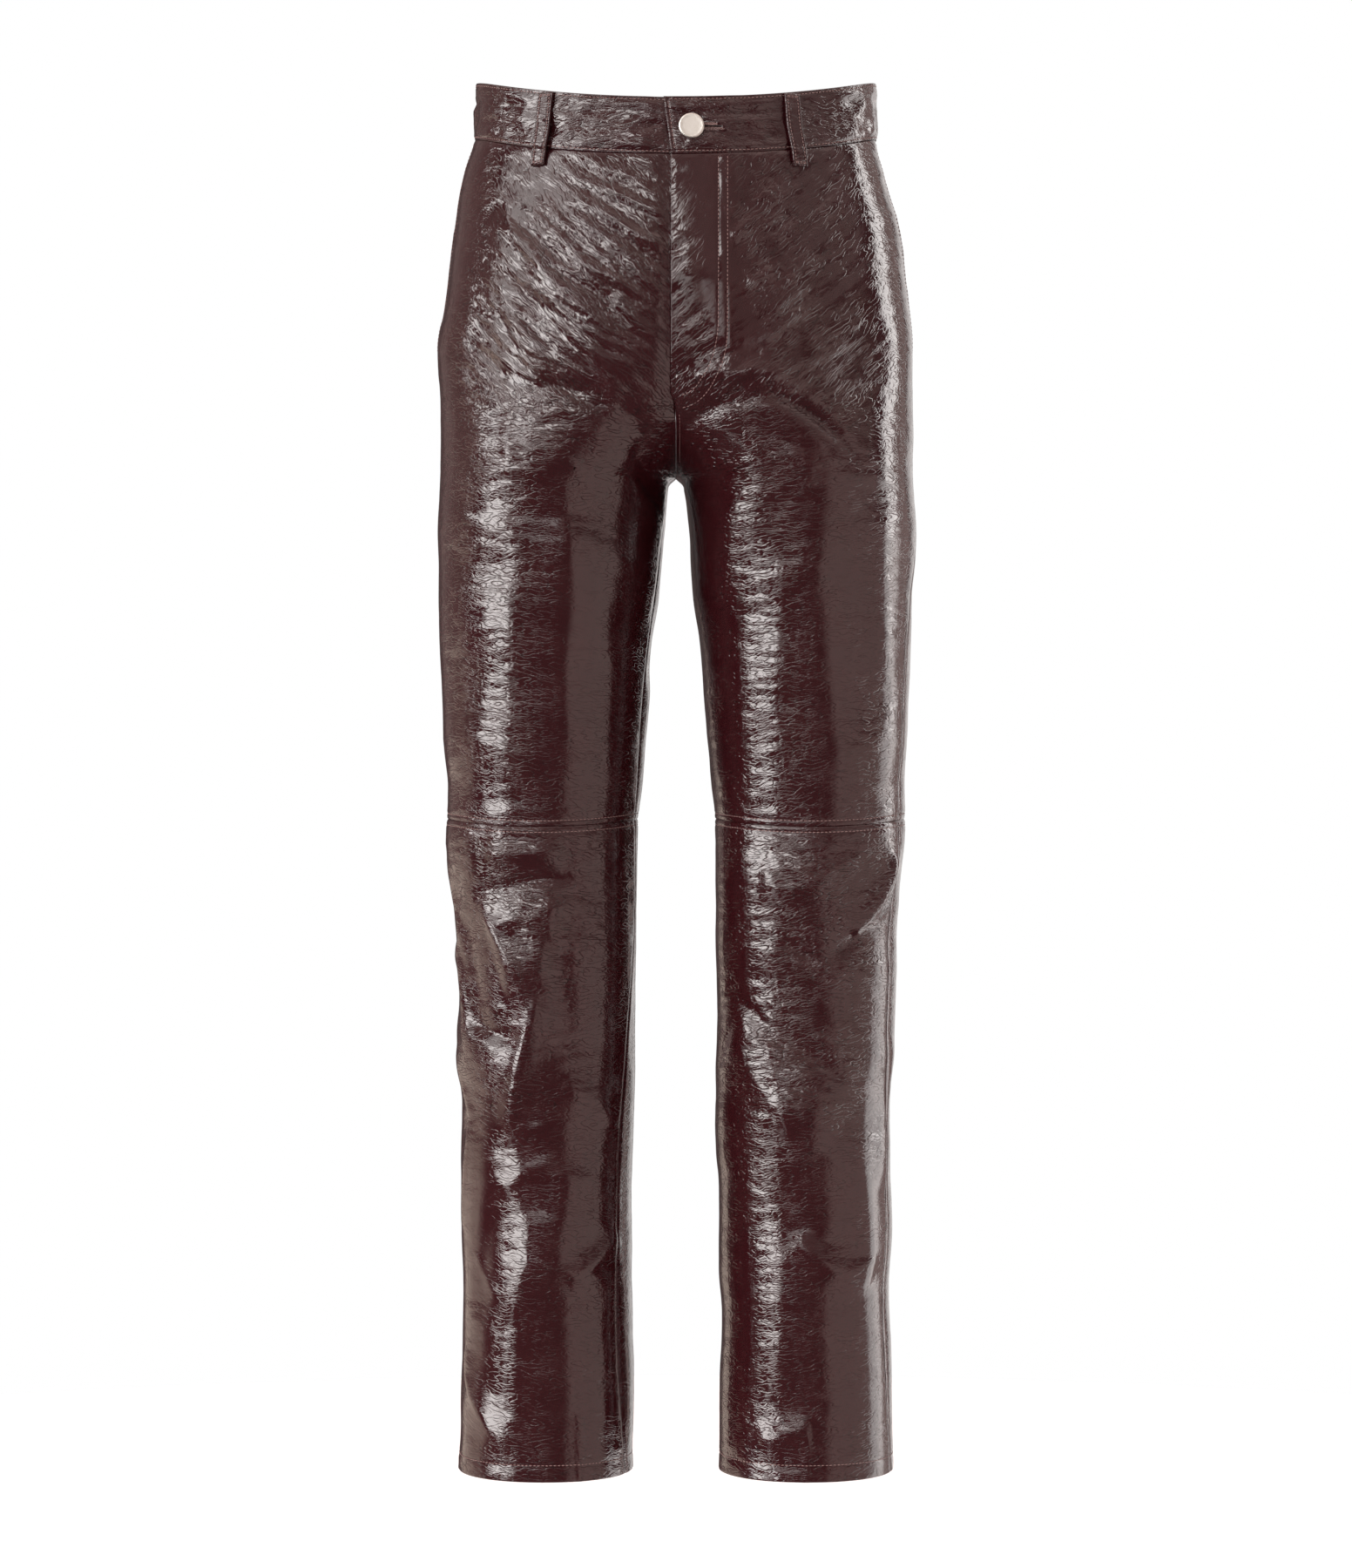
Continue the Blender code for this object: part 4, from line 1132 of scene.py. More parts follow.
@dataclass(frozen=True)
class WovenBacking:
    """Plain matt cloth on the inside: a fine even weave."""

    base: Colour = (0.050, 0.022, 0.024)
    lit: Colour = (0.085, 0.042, 0.044)
    yarn: float = 0.0009

    def material(self) -> Material:
        """Return the finish as a node material."""
        material, graph = new_material("woven_backing")
        flat = graph.flat_map()
        pitch = {"Scale": 0.314 / self.yarn, "Distortion": 0.6, "Detail": 1.0}
        weave = graph.bands(flat, "X", **pitch) * graph.bands(flat, "Y", **pitch)
        patchy = graph.noise(flat, 60.0, 3.0, flat=True)
        graph.dress({
            "Base Color": graph.mixed(weave * 0.6 + patchy * 0.4, self.base, self.lit),
            "Roughness": 0.92 - weave * 0.12,
            "Sheen Weight": 0.25,
            "Normal": graph.bump(weave, 0.8, 0.00015),
        })
        return material


@dataclass(frozen=True)
class SewingThread:
    """Twisted polyester thread in the cloth's colour, a little lighter."""

    base: Colour = (0.150, 0.070, 0.070)
    lit: Colour = (0.400, 0.270, 0.250)

    def material(self) -> Material:
        """Return the finish as a node material, its twist a slanted band on the stitch's map."""
        material, graph = new_material("sewing_thread")
        twist = graph.bands(graph.turned(graph.flat_map(), 0.7), "X", Scale=620.0, Distortion=0.4)
        graph.dress({
            "Base Color": graph.mixed(twist, self.base, self.lit),
            "Roughness": 0.52 - twist * 0.14,
            "Normal": graph.bump(twist, 0.7, 0.0001),
        })
        return material


@dataclass(frozen=True)
class PaleNickel:
    """Pale plated metal with a soft brushed face."""

    base: Colour = (0.90, 0.89, 0.83)
    tarnish: Colour = (0.80, 0.78, 0.71)

    def material(self) -> Material:
        """Return the finish as a node material in the piece's own place."""
        material, graph = new_material("pale_nickel")
        place = graph.own_place()
        brushed = graph.noise(graph.times(place, (900.0, 900.0, 9000.0)), 1.0, 2.0)
        cloudy = graph.noise(place, 240.0, 2.0)
        graph.dress({
            "Base Color": graph.mixed(cloudy.step(0.45, 0.75) * 0.5, self.base, self.tarnish),
            "Metallic": 1.0,
            "Roughness": 0.40 + brushed * 0.10,
            "Normal": graph.bump(brushed, 0.25, 0.00004),
        })
        return material


@dataclass(frozen=True)
class PalePaint:
    """The studio's matt white floor."""

    base: Colour = (0.86, 0.86, 0.86)

    lighter: Colour = (0.8858, 0.8858, 0.8858)

    def material(self) -> Material:
        """Return the finish as a node material with a faint unevenness."""
        material, graph = new_material("pale_floor")
        cloudy = graph.noise(graph.own_place(), 3.0, 2.0)
        graph.dress({
            "Base Color": graph.mixed(cloudy, self.base, self.lighter),
            "Roughness": 0.9,
            "Emission Color": opaque(self.base),
            "Emission Strength": 0.4,
        })
        return material


@dataclass(frozen=True)
class Wardrobe:
    """The finishes, made once and shared by the pieces."""

    coating: Material
    backing: Material
    thread: Material
    nickel: Material


# ---------------------------------------------------------------- sewing


def running(path: Grid) -> Grid:
    """Return the length of a path up to each of its points."""
    return np.concatenate(([0.0], np.cumsum(np.linalg.norm(np.diff(path, axis=0), axis=1))))


def read_path(run: Grid, path: Grid, wanted: Grid) -> Grid:
    """Return a path's points at the wanted lengths."""
    return np.stack([np.interp(wanted, run, values) for values in path.T], -1)


@dataclass(frozen=True)
class Topstitch:
    """A row of separate stitches: sizes of one stitch, and how far apart they begin."""

    pitch: float = 3.0
    length: float = 2.5
    width: float = 0.55
    rise: float = 0.42

    def lay(self, path: Grid, outward: Grid) -> tuple[Grid, Grid, Grid]:
        """Lay stitches along a path.

        A stitch is a slim spindle of three rings of four points and a point at each end: its
        half width is that of an ellipse along its length.

        Args:
            path: Points of the row, on the cloth.
            outward: The cloth's outward direction at each.

        Returns:
            The points, the four-cornered faces and the three-cornered ones.
        """
        run = running(path)
        count = max(1, int(run[-1] // self.pitch))
        starts = (run[-1] - count * self.pitch) / 2.0 + self.pitch * (np.arange(count) + 0.5)
        centre, up = read_path(run, path, starts), read_path(run, outward, starts)
        half = self.length / 2.0
        along = read_path(run, path, starts + half) - read_path(run, path, starts - half)
        along /= np.maximum(np.linalg.norm(along, axis=1, keepdims=True), 1e-9)
        side = np.cross(along, up)
        side /= np.linalg.norm(side, axis=1, keepdims=True)
        up = np.cross(side, along)
        shape = [(-half, 0.0, -0.12)]
        for place in (-0.62, 0.0, 0.62):
            girth = 0.72 * math.sqrt(1.0 - place * place)
            for turn in range(4):
                angle = math.pi / 4.0 + turn * math.pi / 2.0
                aside, above = math.cos(angle) * self.width, math.sin(angle) * self.rise
                shape.append((place * half, aside * girth, above * girth))
        shape.append((half, 0.0, -0.12))
        pattern = np.array(shape)
        points = (
            centre[:, None]
            + along[:, None] * pattern[None, :, :1]
            + side[:, None] * pattern[None, :, 1:2]
            + up[:, None] * pattern[None, :, 2:]
        )
        rings = 1 + np.arange(12).reshape(3, 4)
        after = np.roll(rings, -1, axis=1)
        quads = np.stack((rings[:-1], after[:-1], after[1:], rings[1:]), -1).reshape(-1, 4)
        first, last = np.full(4, 0), np.full(4, len(pattern) - 1)
        ends = np.stack((np.stack((first, after[0], rings[0]), -1), np.stack((last, rings[2], after[2]), -1)))
        shift = (np.arange(count) * len(pattern))[:, None, None]
        ends = ends.reshape(-1, 3) + shift
        return points.reshape(-1, 3), (quads + shift).reshape(-1, 4), ends.reshape(-1, 3)


def sew(name: str, rows: Rows, stitch: Topstitch, thread: Material) -> Piece:
    """Join rows of stitches into one piece.

    Args:
        name: Name of the piece.
        rows: Each row's path and outward directions.
        stitch: The stitch.
        thread: Its finish.

    Returns:
        The piece.
    """
    points, quads, ends, start = [], [], [], 0
    for path, outward in rows:
        row_points, row_quads, row_ends = stitch.lay(path, outward)
        points.append(row_points)
        quads.append(row_quads + start)
        ends.append(row_ends + start)
        start += len(row_points)
    joined = np.concatenate(points)
    item = make_mesh(name, joined, [np.concatenate(quads), np.concatenate(ends)])
    item.data.materials.append(thread)
    add_flat_map(item, np.stack((joined[:, 0] + joined[:, 1], joined[:, 2]), -1) * MM)
    return own(item, "coated_cloth")


def path_on(column: Column, angles: Grid, heights: Grid, offset: Grid | float) -> tuple[Grid, Grid]:
    """Return a path on the cloth and the outward direction along it."""
    path = column.surface(angles, heights, offset)
    outward = column.surface(angles, heights, np.asarray(offset) + 1.0) - path
    return path, outward


# ---------------------------------------------------------------- leg panels


@dataclass
class LegPanel:
    """One leg panel: a half, a face and a span, with its fine grid."""

    side: Side
    face: Face
    span: Span
    columns: int = 104
    rows: int = 176
    nominal_width: float = 262.0
    rows_in_fly: tuple[int, int, int] = (66, 7, 7)
    rows_round_crotch: int = 20
    rows_below_crotch: int = 14

    @property
    def name(self) -> str:
        """Name of the panel's node."""
        return f"{self.face.value}_{self.span.value}_{self.side.value}"

    @property
    def column(self) -> Column:
        """The half that the panel is part of."""
        return COLUMNS[self.side]

    @property
    def is_fly(self) -> bool:
        """Whether this is the left front, which laps over and carries the fly's stitching."""
        return self.side is Side.LEFT and self.face is Face.FRONT and self.span is Span.THIGH

    def centre_cut(self, heights: Grid) -> Grid:
        """Return how far from the centre line the panel ends, negative past that line."""
        if self.face is Face.BACK:
            return np.zeros(np.shape(heights))
        lap = FLY_LAP if self.side is Side.LEFT else FLY_UNDER
        return -lap * fade(heights, FLY_JOINED, FLY_FOOT)

    def angles(self, heights: Grid, shares: Grid) -> Grid:
        """Return angles at even shares of the cloth's length, just inside the two seams.

        Share 0 is the centre or inside seam and share 1 the side seam.

        Args:
            heights: Heights.
            shares: Shares of the panel's width.

        Returns:
            Degrees round the column.
        """
        heights = np.asarray(heights, float)
        turn = self.column.turn(heights)
        first = self.face.sign * self.column.angle_of(self.centre_cut(heights), heights) + turn
        return self.column.even_angles(first, turn, heights, shares)

    def on_line(self, line: Callable[[Grid], Grid], shares: Grid) -> Grid:
        """Return the heights of an edge that follows a line given by angle."""
        heights = line(np.full(np.shape(shares), 90.0 * self.face.sign))
        for _ in range(4):
            heights = line(self.angles(heights, shares))
        return heights

    def crotch_rows(self) -> Grid:
        """Return heights down to the crotch at which the centre seam turns by even angles."""
        heights = np.linspace(FLY_FLAT, CROTCH, 400)
        turned = self.column.angle_of(np.zeros(heights.shape), heights)
        wanted = np.linspace(turned[0], 180.0, self.rows_round_crotch + 1)
        return np.interp(wanted, turned, heights)[1:]

    def down_centre(self, top: float, foot: float) -> Grid:
        """Return the heights of the rows at the centre seam, close together at the crotch."""
        near = np.array(NEAR_EDGE)
        to_fly, to_joined, to_flat = self.rows_in_fly
        below = CROTCH - np.array((1.6, 3.6, 6.4, 10.4, 16.0))
        head = np.concatenate((
            top - near,
            np.linspace(top - near[-1], FLY_FOOT, to_fly)[1:],
            np.linspace(FLY_FOOT, FLY_JOINED, to_joined)[1:],
            np.linspace(FLY_JOINED, FLY_FLAT, to_flat)[1:],
            self.crotch_rows(),
            below,
        ))
        rest = self.rows - len(head) - len(near) + 1
        legs = np.linspace(below[-1], foot + near[-1], rest + 1)[1:-1]
        return np.concatenate((head, legs, foot + near[::-1]))

    def grid(self) -> tuple[Grid, Grid]:
        """Return the panel's angles and heights."""
        shares = ladder(self.nominal_width, self.columns) / self.nominal_width
        if self.is_fly:
            shares = np.unique(np.concatenate((shares, np.linspace(*FLY_FINE))))
        if self.span is Span.THIGH:
            top = self.on_line(waist_seam, shares) - SEAM_GAP / 2.0
            foot = self.on_line(knee_seam, shares) + SEAM_GAP / 2.0
            centre = self.down_centre(float(top[0]), float(foot[0]))
            even = (ladder(float(top[0] - foot[0]), len(centre)) / float(top[0] - foot[0]))[:, None]
            by_centre = ((top[0] - centre) / (top[0] - foot[0]))[:, None]
            down = by_centre + (even - by_centre) * shares
        else:
            top = self.on_line(knee_seam, shares) - SEAM_GAP / 2.0
            foot = self.on_line(hem_line, shares)
            length = float(top[0] - foot[0])
            turn = length - np.array((HEM_TURN + HEM_STEP, HEM_TURN))
            plain = ladder(length, self.rows - 2)
            down = (np.sort(np.concatenate((plain, turn))) / length)[:, None]
        heights = top + (foot - top) * down
        return self.angles(heights, np.broadcast_to(shares, heights.shape)), heights

    def offset(self, angles: Grid, heights: Grid) -> Grid:
        """Return how far a front panel stands off at its fly and along its pocket's mouth."""
        if self.face is Face.BACK or self.span is Span.SHIN:
            return np.zeros(angles.shape)
        x = self.column.plan(angles, heights)[0]
        down = fade(heights, FLY_FLAT, FLY_JOINED)
        if self.side is Side.LEFT:
            fly = FLY_LIFT * down * fade(x, FLY_WIDTH + 12.0, FLY_WIDTH)
        else:
            fly = -FLY_SINK * down * fade(x, 16.0, 6.0)
        from_seam = np.radians(angles - self.column.turn(heights)) * self.column.radius(heights)
        top = waist_seam(angles)
        mouth = np.sin(math.pi * np.clip((top - heights) / (top - POCKET_FOOT), 0.0, 1.0))
        return fly + POCKET_LIP * mouth * fade(from_seam, POCKET_LIP_WIDTH, 0.0)

    def shell(self) -> Shell:
        """Work out the panel's walls, its edges turned in and puckered where they are sewn."""
        angles, heights = self.grid()
        column = self.column
        x, y, _, facing = column.plan(angles, heights)
        steps = np.hypot(np.diff(x, axis=1), np.diff(y, axis=1))
        run = np.concatenate((np.zeros((len(x), 1)), np.cumsum(steps, axis=1)), axis=1)
        ahead = np.where(heights > CROTCH, fade(np.abs(facing), 0.80, 0.98), 1.0)
        from_first, from_side = run, run[:, -1:] - run
        from_top, from_foot = heights[:1] - heights, heights - heights[-1:]
        thigh = self.span is Span.THIGH
        sunk = sunk_edge(from_side) + ahead * sunk_edge(from_first, None, CENTRE_ROUND)
        sunk = sunk + sunk_edge(from_top, None if thigh else TOPSTITCH)
        if thigh:
            sunk = sunk + sunk_edge(from_foot, TOPSTITCH)
        else:
            sunk = sunk + rounded(from_foot) + STITCH_SINK * bell(from_foot - HEM_TURN + 1.0, 1.3)
        if self.is_fly:
            for distance, foot in zip(FLY_ROWS, FLY_ROW_FEET):
                below = np.minimum(heights - foot - FLY_BEND, 0.0)
                beside = np.hypot(x, below * distance / FLY_BEND) - distance
                sunk = sunk + FLY_CHANNEL * bell(beside, 1.3) * fade(heights, foot, foot + 0.7 * FLY_BEND)
        seed = 5 + 10 * list(Side).index(self.side) + 3 * list(Face).index(self.face)
        waves = (
            pucker(from_top, run, 9.0, seed)
            + pucker(from_foot, run, 12.0, seed + 20)
            + 0.8 * pucker(from_side, heights, 7.0, seed + 40)
            + 0.8 * ahead * pucker(from_first, heights, 7.0, seed + 60)
        )
        stand = self.offset(angles, heights)
        thickness = np.full(angles.shape, CLOTH)
        if not thigh:
            thickness = CLOTH * (2.0 - fade(from_foot, HEM_TURN, HEM_TURN + HEM_STEP))
        outer = column.surface(angles, heights, stand - np.minimum(sunk, CLOTH * 0.72) + waves)
        inner = column.surface(angles, heights, stand - thickness)
        flat = np.stack((from_side + 731.0 * seed, heights), -1)
        marks = {"work": column.work(angles, heights), "drag": column.drag(angles, heights)}
        return Shell(outer, inner, flat, marks)

    def build(self, wardrobe: Wardrobe) -> Piece:
        """Make the panel and log its cut."""
        above = "waistband" if self.span is Span.THIGH else f"{self.face.value}_thigh"
        above = f"{above}_{self.side.value}"
        finishes = (wardrobe.coating, wardrobe.backing)
        return lay_cloth(self.name, self.shell(), finishes, "coated_cloth")


# ---------------------------------------------------------------- waistband


@dataclass
class Waistband:
    """Half of the waistband, from its end at the front round to the seam at the back."""

    side: Side
    columns: int = 236
    rows: int = 34
    length: float = 420.0
    top_stitch: float = 2.2
    foot_stitch: float = 1.9
    end_stitch: float = 3.0
    crumple: float = 0.80       # heights of its uneven waves
    crests: float = 1.00
    rays: float = 0.75          # and of the rays round the button
    calm_work: float = 0.62
    button_work: float = 0.40
    drag: float = 0.25

    @property
    def name(self) -> str:
        """Name of its node."""
        return f"waistband_{self.side.value}"

    def lap(self, angles: Grid, heights: Grid) -> Grid:
        """Return how far the band stands out, with its two ends one over the other."""
        x = COLUMNS[self.side].plan(angles, heights)[0]
        front = np.sin(np.radians(angles)) > 0.0
        if self.side is Side.LEFT:
            lap = OVERLAP_LIFT * fade(x, UNDERLAP + 18.0, UNDERLAP + 2.0)
        else:
            lap = -UNDERLAP_SINK * fade(x, OVERLAP_TOP + 16.0, OVERLAP_TOP + 2.0)
        return BAND_PROUD + np.where(front, lap, 0.0)

    def grid(self, shares: Grid, rise: Grid) -> tuple[Grid, Grid]:
        """Return angles and heights at shares of the band's length and of its height."""
        column = COLUMNS[self.side]
        rise = rise[:, None]
        heights = np.zeros((len(rise), len(shares)))
        for _ in range(4):
            if self.side is Side.LEFT:
                end = -(OVERLAP_FOOT + (OVERLAP_TOP - OVERLAP_FOOT) * rise)
            else:
                end = np.full(rise.shape, -UNDERLAP)
            first = column.angle_of(np.broadcast_to(end, heights.shape), heights)
            angles = column.even_angles(first, -90.0, heights, shares, 2 * DENSE)
            heights = waist_seam(angles) + SEAM_GAP / 2.0 + (BAND_HEIGHT - SEAM_GAP / 2.0) * rise
        return angles, heights

    def shell(self) -> Shell:
        """Work out the band's walls, its edges rounded and sunk below their stitching."""
        column = COLUMNS[self.side]
        shares = ladder(self.length, self.columns) / self.length
        rise = ladder(BAND_HEIGHT, self.rows) / BAND_HEIGHT
        angles, heights = self.grid(shares, rise)
        from_foot = BAND_HEIGHT * rise[:, None] + np.zeros_like(angles)
        from_top = BAND_HEIGHT - from_foot
        from_end = self.length * shares[None] + np.zeros_like(angles)
        from_back = self.length - from_end
        sunk = sunk_edge(from_foot, self.foot_stitch) + sunk_edge(from_back)
        for distance, row in ((from_top, self.top_stitch), (from_end, self.end_stitch)):
            sunk = sunk + rounded(distance) + STITCH_SINK * bell(distance - row, STITCH_REACH)
        seed = 83 if self.side is Side.LEFT else 89
        waves = pucker(from_foot, from_end, 12.0, seed) + pucker(from_top, from_end, 8.0, seed + 4)
        waves = waves + 0.8 * pucker(from_end, heights, 10.0, seed + 8)
        crumple = self.crumple * lattice_noise(from_end / 15.0, from_foot / 7.0, seed + 12)
        folded = np.abs(lattice_noise(from_end / 22.0 + from_foot / 30.0, from_foot / 10.0, seed + 14))
        crumple = crumple + self.crests * (1.0 - 2.0 * folded)
        if self.side is Side.LEFT:
            off_end, off_foot = from_end - BUTTON_ACROSS - OVERLAP_FOOT - 3.0, from_foot - BAND_HEIGHT * 0.48
            away, turned = np.hypot(off_end, off_foot), np.arctan2(off_foot, off_end)
            rays = lattice_noise(turned * 3.8, away / 40.0, seed + 16)
            crumple = crumple + self.rays * rays * bell(away - 15.0, 11.0)
        stand = self.lap(angles, heights)
        loose = fade(from_top, 0.0, 8.0)
        for distance in (from_foot, from_end, from_back):
            loose = loose * fade(distance, 0.0, 9.0)
        raised = stand - np.minimum(sunk, BAND_CLOTH * 0.6) + waves + crumple * loose
        outer = column.surface(angles, heights, raised)
        inner = column.surface(angles, heights, stand - BAND_CLOTH)
        flat = np.stack((from_end + 977.0 * seed, from_foot), -1)
        work = np.full(angles.shape, self.calm_work)
        if self.side is Side.LEFT:
            work = work + self.button_work * bell(np.hypot(from_end - 22.0, from_foot - 20.0), 30.0)
        return Shell(outer, inner, flat, {"work": work, "drag": np.full(angles.shape, self.drag)})

    def build(self, wardrobe: Wardrobe) -> Piece:
        """Make the band's half and log its cut."""
        finishes, above = (wardrobe.coating, wardrobe.backing), "belt_loop_back_centre"
        return lay_cloth(self.name, self.shell(), finishes, "coated_cloth")

    def rows_of_stitches(self) -> Rows:
        """Return the band's rows of topstitching."""
        column = COLUMNS[self.side]
        start = 1.0 if self.side is Side.RIGHT else self.end_stitch
        along = np.linspace(start, self.length - 0.4, 420) / self.length
        rows = []
        for level in (self.foot_stitch / BAND_HEIGHT, 1.0 - self.top_stitch / BAND_HEIGHT):
            angles, heights = self.grid(along, np.array([level]))
            lift = self.lap(angles, heights) - STITCH_SINK * 0.4
            rows.append(path_on(column, angles[0], heights[0], lift[0] + (0.0 if level > 0.5 else -0.35)))
        if self.side is Side.LEFT:
            rise = np.linspace(self.foot_stitch, BAND_HEIGHT - self.top_stitch, 40) / BAND_HEIGHT
            angles, heights = self.grid(np.array([self.end_stitch / self.length]), rise)
            lift = self.lap(angles, heights) - STITCH_SINK * 0.4
            rows.append(path_on(column, angles[:, 0], heights[:, 0], lift[:, 0]))
        return rows


# ---------------------------------------------------------------- small sewn pieces


@dataclass
class FlyShield:
    """The strip behind the left front, curved in at its foot like the stitching."""

    rows: int = 70
    columns: int = 14

    def build(self, wardrobe: Wardrobe) -> Piece:
        """Make the shield from the left front's own points, moved in."""
        panel = LegPanel(Side.LEFT, Face.FRONT, Span.THIGH)
        column = COLUMNS[Side.LEFT]
        top = float(waist_seam(np.array(90.0))) - SEAM_GAP / 2.0
        levels = np.linspace(top, FLY_FOOT, self.rows)[:, None]
        curve = fade(levels, FLY_FOOT + SHIELD_CURVE, FLY_FOOT)
        width = (FLY_WIDTH - 2.0) * (1.0 - (1.0 - SHIELD_NARROW) * curve)
        start = FLY_UNDER + 2.0 * SEAM_GAP
        across = start + (width - start) * np.linspace(0.0, 1.0, self.columns)
        heights = levels + np.zeros_like(across)
        angles = column.angle_of(across, heights)
        behind = panel.offset(angles, heights) - CLOTH - SHIELD_BEHIND
        outer = column.surface(angles, heights, behind)
        inner = column.surface(angles, heights, behind - FACING_CLOTH)
        marks = {"work": np.full(across.shape, 0.2), "drag": np.zeros(across.shape)}
        shell = Shell(outer, inner, np.stack((across, heights), -1), marks)
        finishes = (wardrobe.backing, wardrobe.backing)
        return lay_cloth("fly_shield", shell, finishes, "cloth_inside")


@dataclass
class PocketFacing:
    """The strip behind a side pocket's mouth, reaching under both panels beside it."""

    side: Side
    rows: int = 60
    columns: int = 24
    reach: float = 44.0
    foot: float = -212.0

    def build(self, wardrobe: Wardrobe) -> Piece:
        """Make the facing from the points of the two panels beside it, moved in."""
        column = COLUMNS[self.side]
        share = np.linspace(-1.0, 1.0, self.columns)
        top = float(waist_seam(np.array(0.0))) - SEAM_GAP / 2.0
        heights = np.linspace(top, self.foot, self.rows)[:, None] + np.zeros(self.columns)
        angles = np.degrees(share * self.reach / column.ellipse(heights)[3])
        outer = column.surface(angles, heights, -CLOTH - SEAM_GAP)
        inner = column.surface(angles, heights, -CLOTH - SEAM_GAP - FACING_CLOTH)
        marks = {"work": np.full(angles.shape, 0.2), "drag": np.zeros(angles.shape)}
        flat = np.stack((share * self.reach + np.zeros(angles.shape), heights), -1)
        name, above = (f"{what}_{self.side.value}" for what in ("pocket_facing", "waistband"))
        finishes = (wardrobe.backing, wardrobe.backing)
        return lay_cloth(name, Shell(outer, inner, flat, marks), finishes, "cloth_inside")


@dataclass
class BeltLoop:
    """A folded strip tacked at its head and foot, standing off the band between."""

    place: LoopPlace
    rows: int = 66
    columns: int = 26
    stitch_inset: float = 2.1

    def grid(self, down: Grid, aside: Grid) -> tuple[Grid, Grid, Grid]:
        """Return angles, heights and the lift at shares down and across the strip."""
        column = COLUMNS[self.place.side]
        middle_top = float(waist_top(np.array(self.place.angle)))
        head, foot = middle_top - LOOP_TOP_INSET, middle_top - BAND_HEIGHT - LOOP_BELOW
        heights = head + (foot - head) * down + np.zeros(np.shape(aside))
        _, _, half_x, half_y = column.ellipse(heights)
        turn = math.radians(self.place.angle)
        facing = np.hypot(half_x * math.sin(turn), half_y * math.cos(turn))
        angles = self.place.angle + np.degrees((LOOP_WIDTH * aside - self.place.lean * down) / facing)
        on_band = fade(heights, middle_top - BAND_HEIGHT - 3.0, middle_top - BAND_HEIGHT + 1.0)
        lift = LOOP_SEAT + BAND_PROUD * on_band + LOOP_RISE * np.sin(math.pi * down) ** 0.7
        return angles, heights, lift

    def build(self, wardrobe: Wardrobe) -> Piece:
        """Make the strip with rounded edges, sunk along its two rows of stitches."""
        column = COLUMNS[self.place.side]
        aside = ladder(LOOP_WIDTH, self.columns, NEAR_LOOP_EDGE)
        length = BAND_HEIGHT + LOOP_BELOW - LOOP_TOP_INSET
        down = np.linspace(0.0, 1.0, self.rows)[:, None]
        angles, heights, lift = self.grid(down, aside / LOOP_WIDTH - 0.5)
        from_edge = np.minimum(aside, LOOP_WIDTH - aside)[None] + np.zeros(angles.shape)
        from_end = length * np.minimum(down, 1.0 - down) + np.zeros(angles.shape)
        sunk = STITCH_SINK * bell(from_edge - self.stitch_inset, 0.7) + rounded(from_edge) + rounded(from_end)
        seed = 101 + 7 * LOOPS.index(self.place)
        over, below = aside + np.zeros_like(angles), down * length + np.zeros_like(angles)
        waves = 0.16 * lattice_noise(over / 5.0, below / 6.0, seed)
        raised = lift + LOOP_CLOTH - np.minimum(sunk, LOOP_CLOTH * 0.6) + waves
        outer, inner = (column.surface(angles, heights, out) for out in (raised, lift))
        flat = np.stack((over + 313.0 * seed, below), -1)
        marks = {"work": np.full(angles.shape, 0.7), "drag": np.zeros(angles.shape)}
        shell = Shell(outer, inner, flat, marks)
        finishes = (wardrobe.coating, wardrobe.coating)
        return lay_cloth(self.place.name, shell, finishes, "coated_cloth")

    def rows_of_stitches(self) -> Rows:
        """Return the two rows down the strip and the short tacks across its ends."""
        column = COLUMNS[self.place.side]
        rows = []
        length = BAND_HEIGHT + LOOP_BELOW - LOOP_TOP_INSET
        for inset in (self.stitch_inset, LOOP_WIDTH - self.stitch_inset):
            down = np.linspace(1.2 / length, 1.0 - 1.2 / length, 60)
            angles, heights, lift = self.grid(down, np.full(down.shape, inset / LOOP_WIDTH - 0.5))
            rows.append(path_on(column, angles, heights, lift + LOOP_CLOTH - STITCH_SINK * 0.4))
        for end in (2.2 / length, 3.1 / length, 1.0 - 3.1 / length, 1.0 - 2.2 / length):
            aside = np.linspace(-0.38, 0.38, 20)
            angles, heights, lift = self.grid(np.full(aside.shape, end), aside)
            rows.append(path_on(column, angles, heights, lift + LOOP_CLOTH))
        return rows


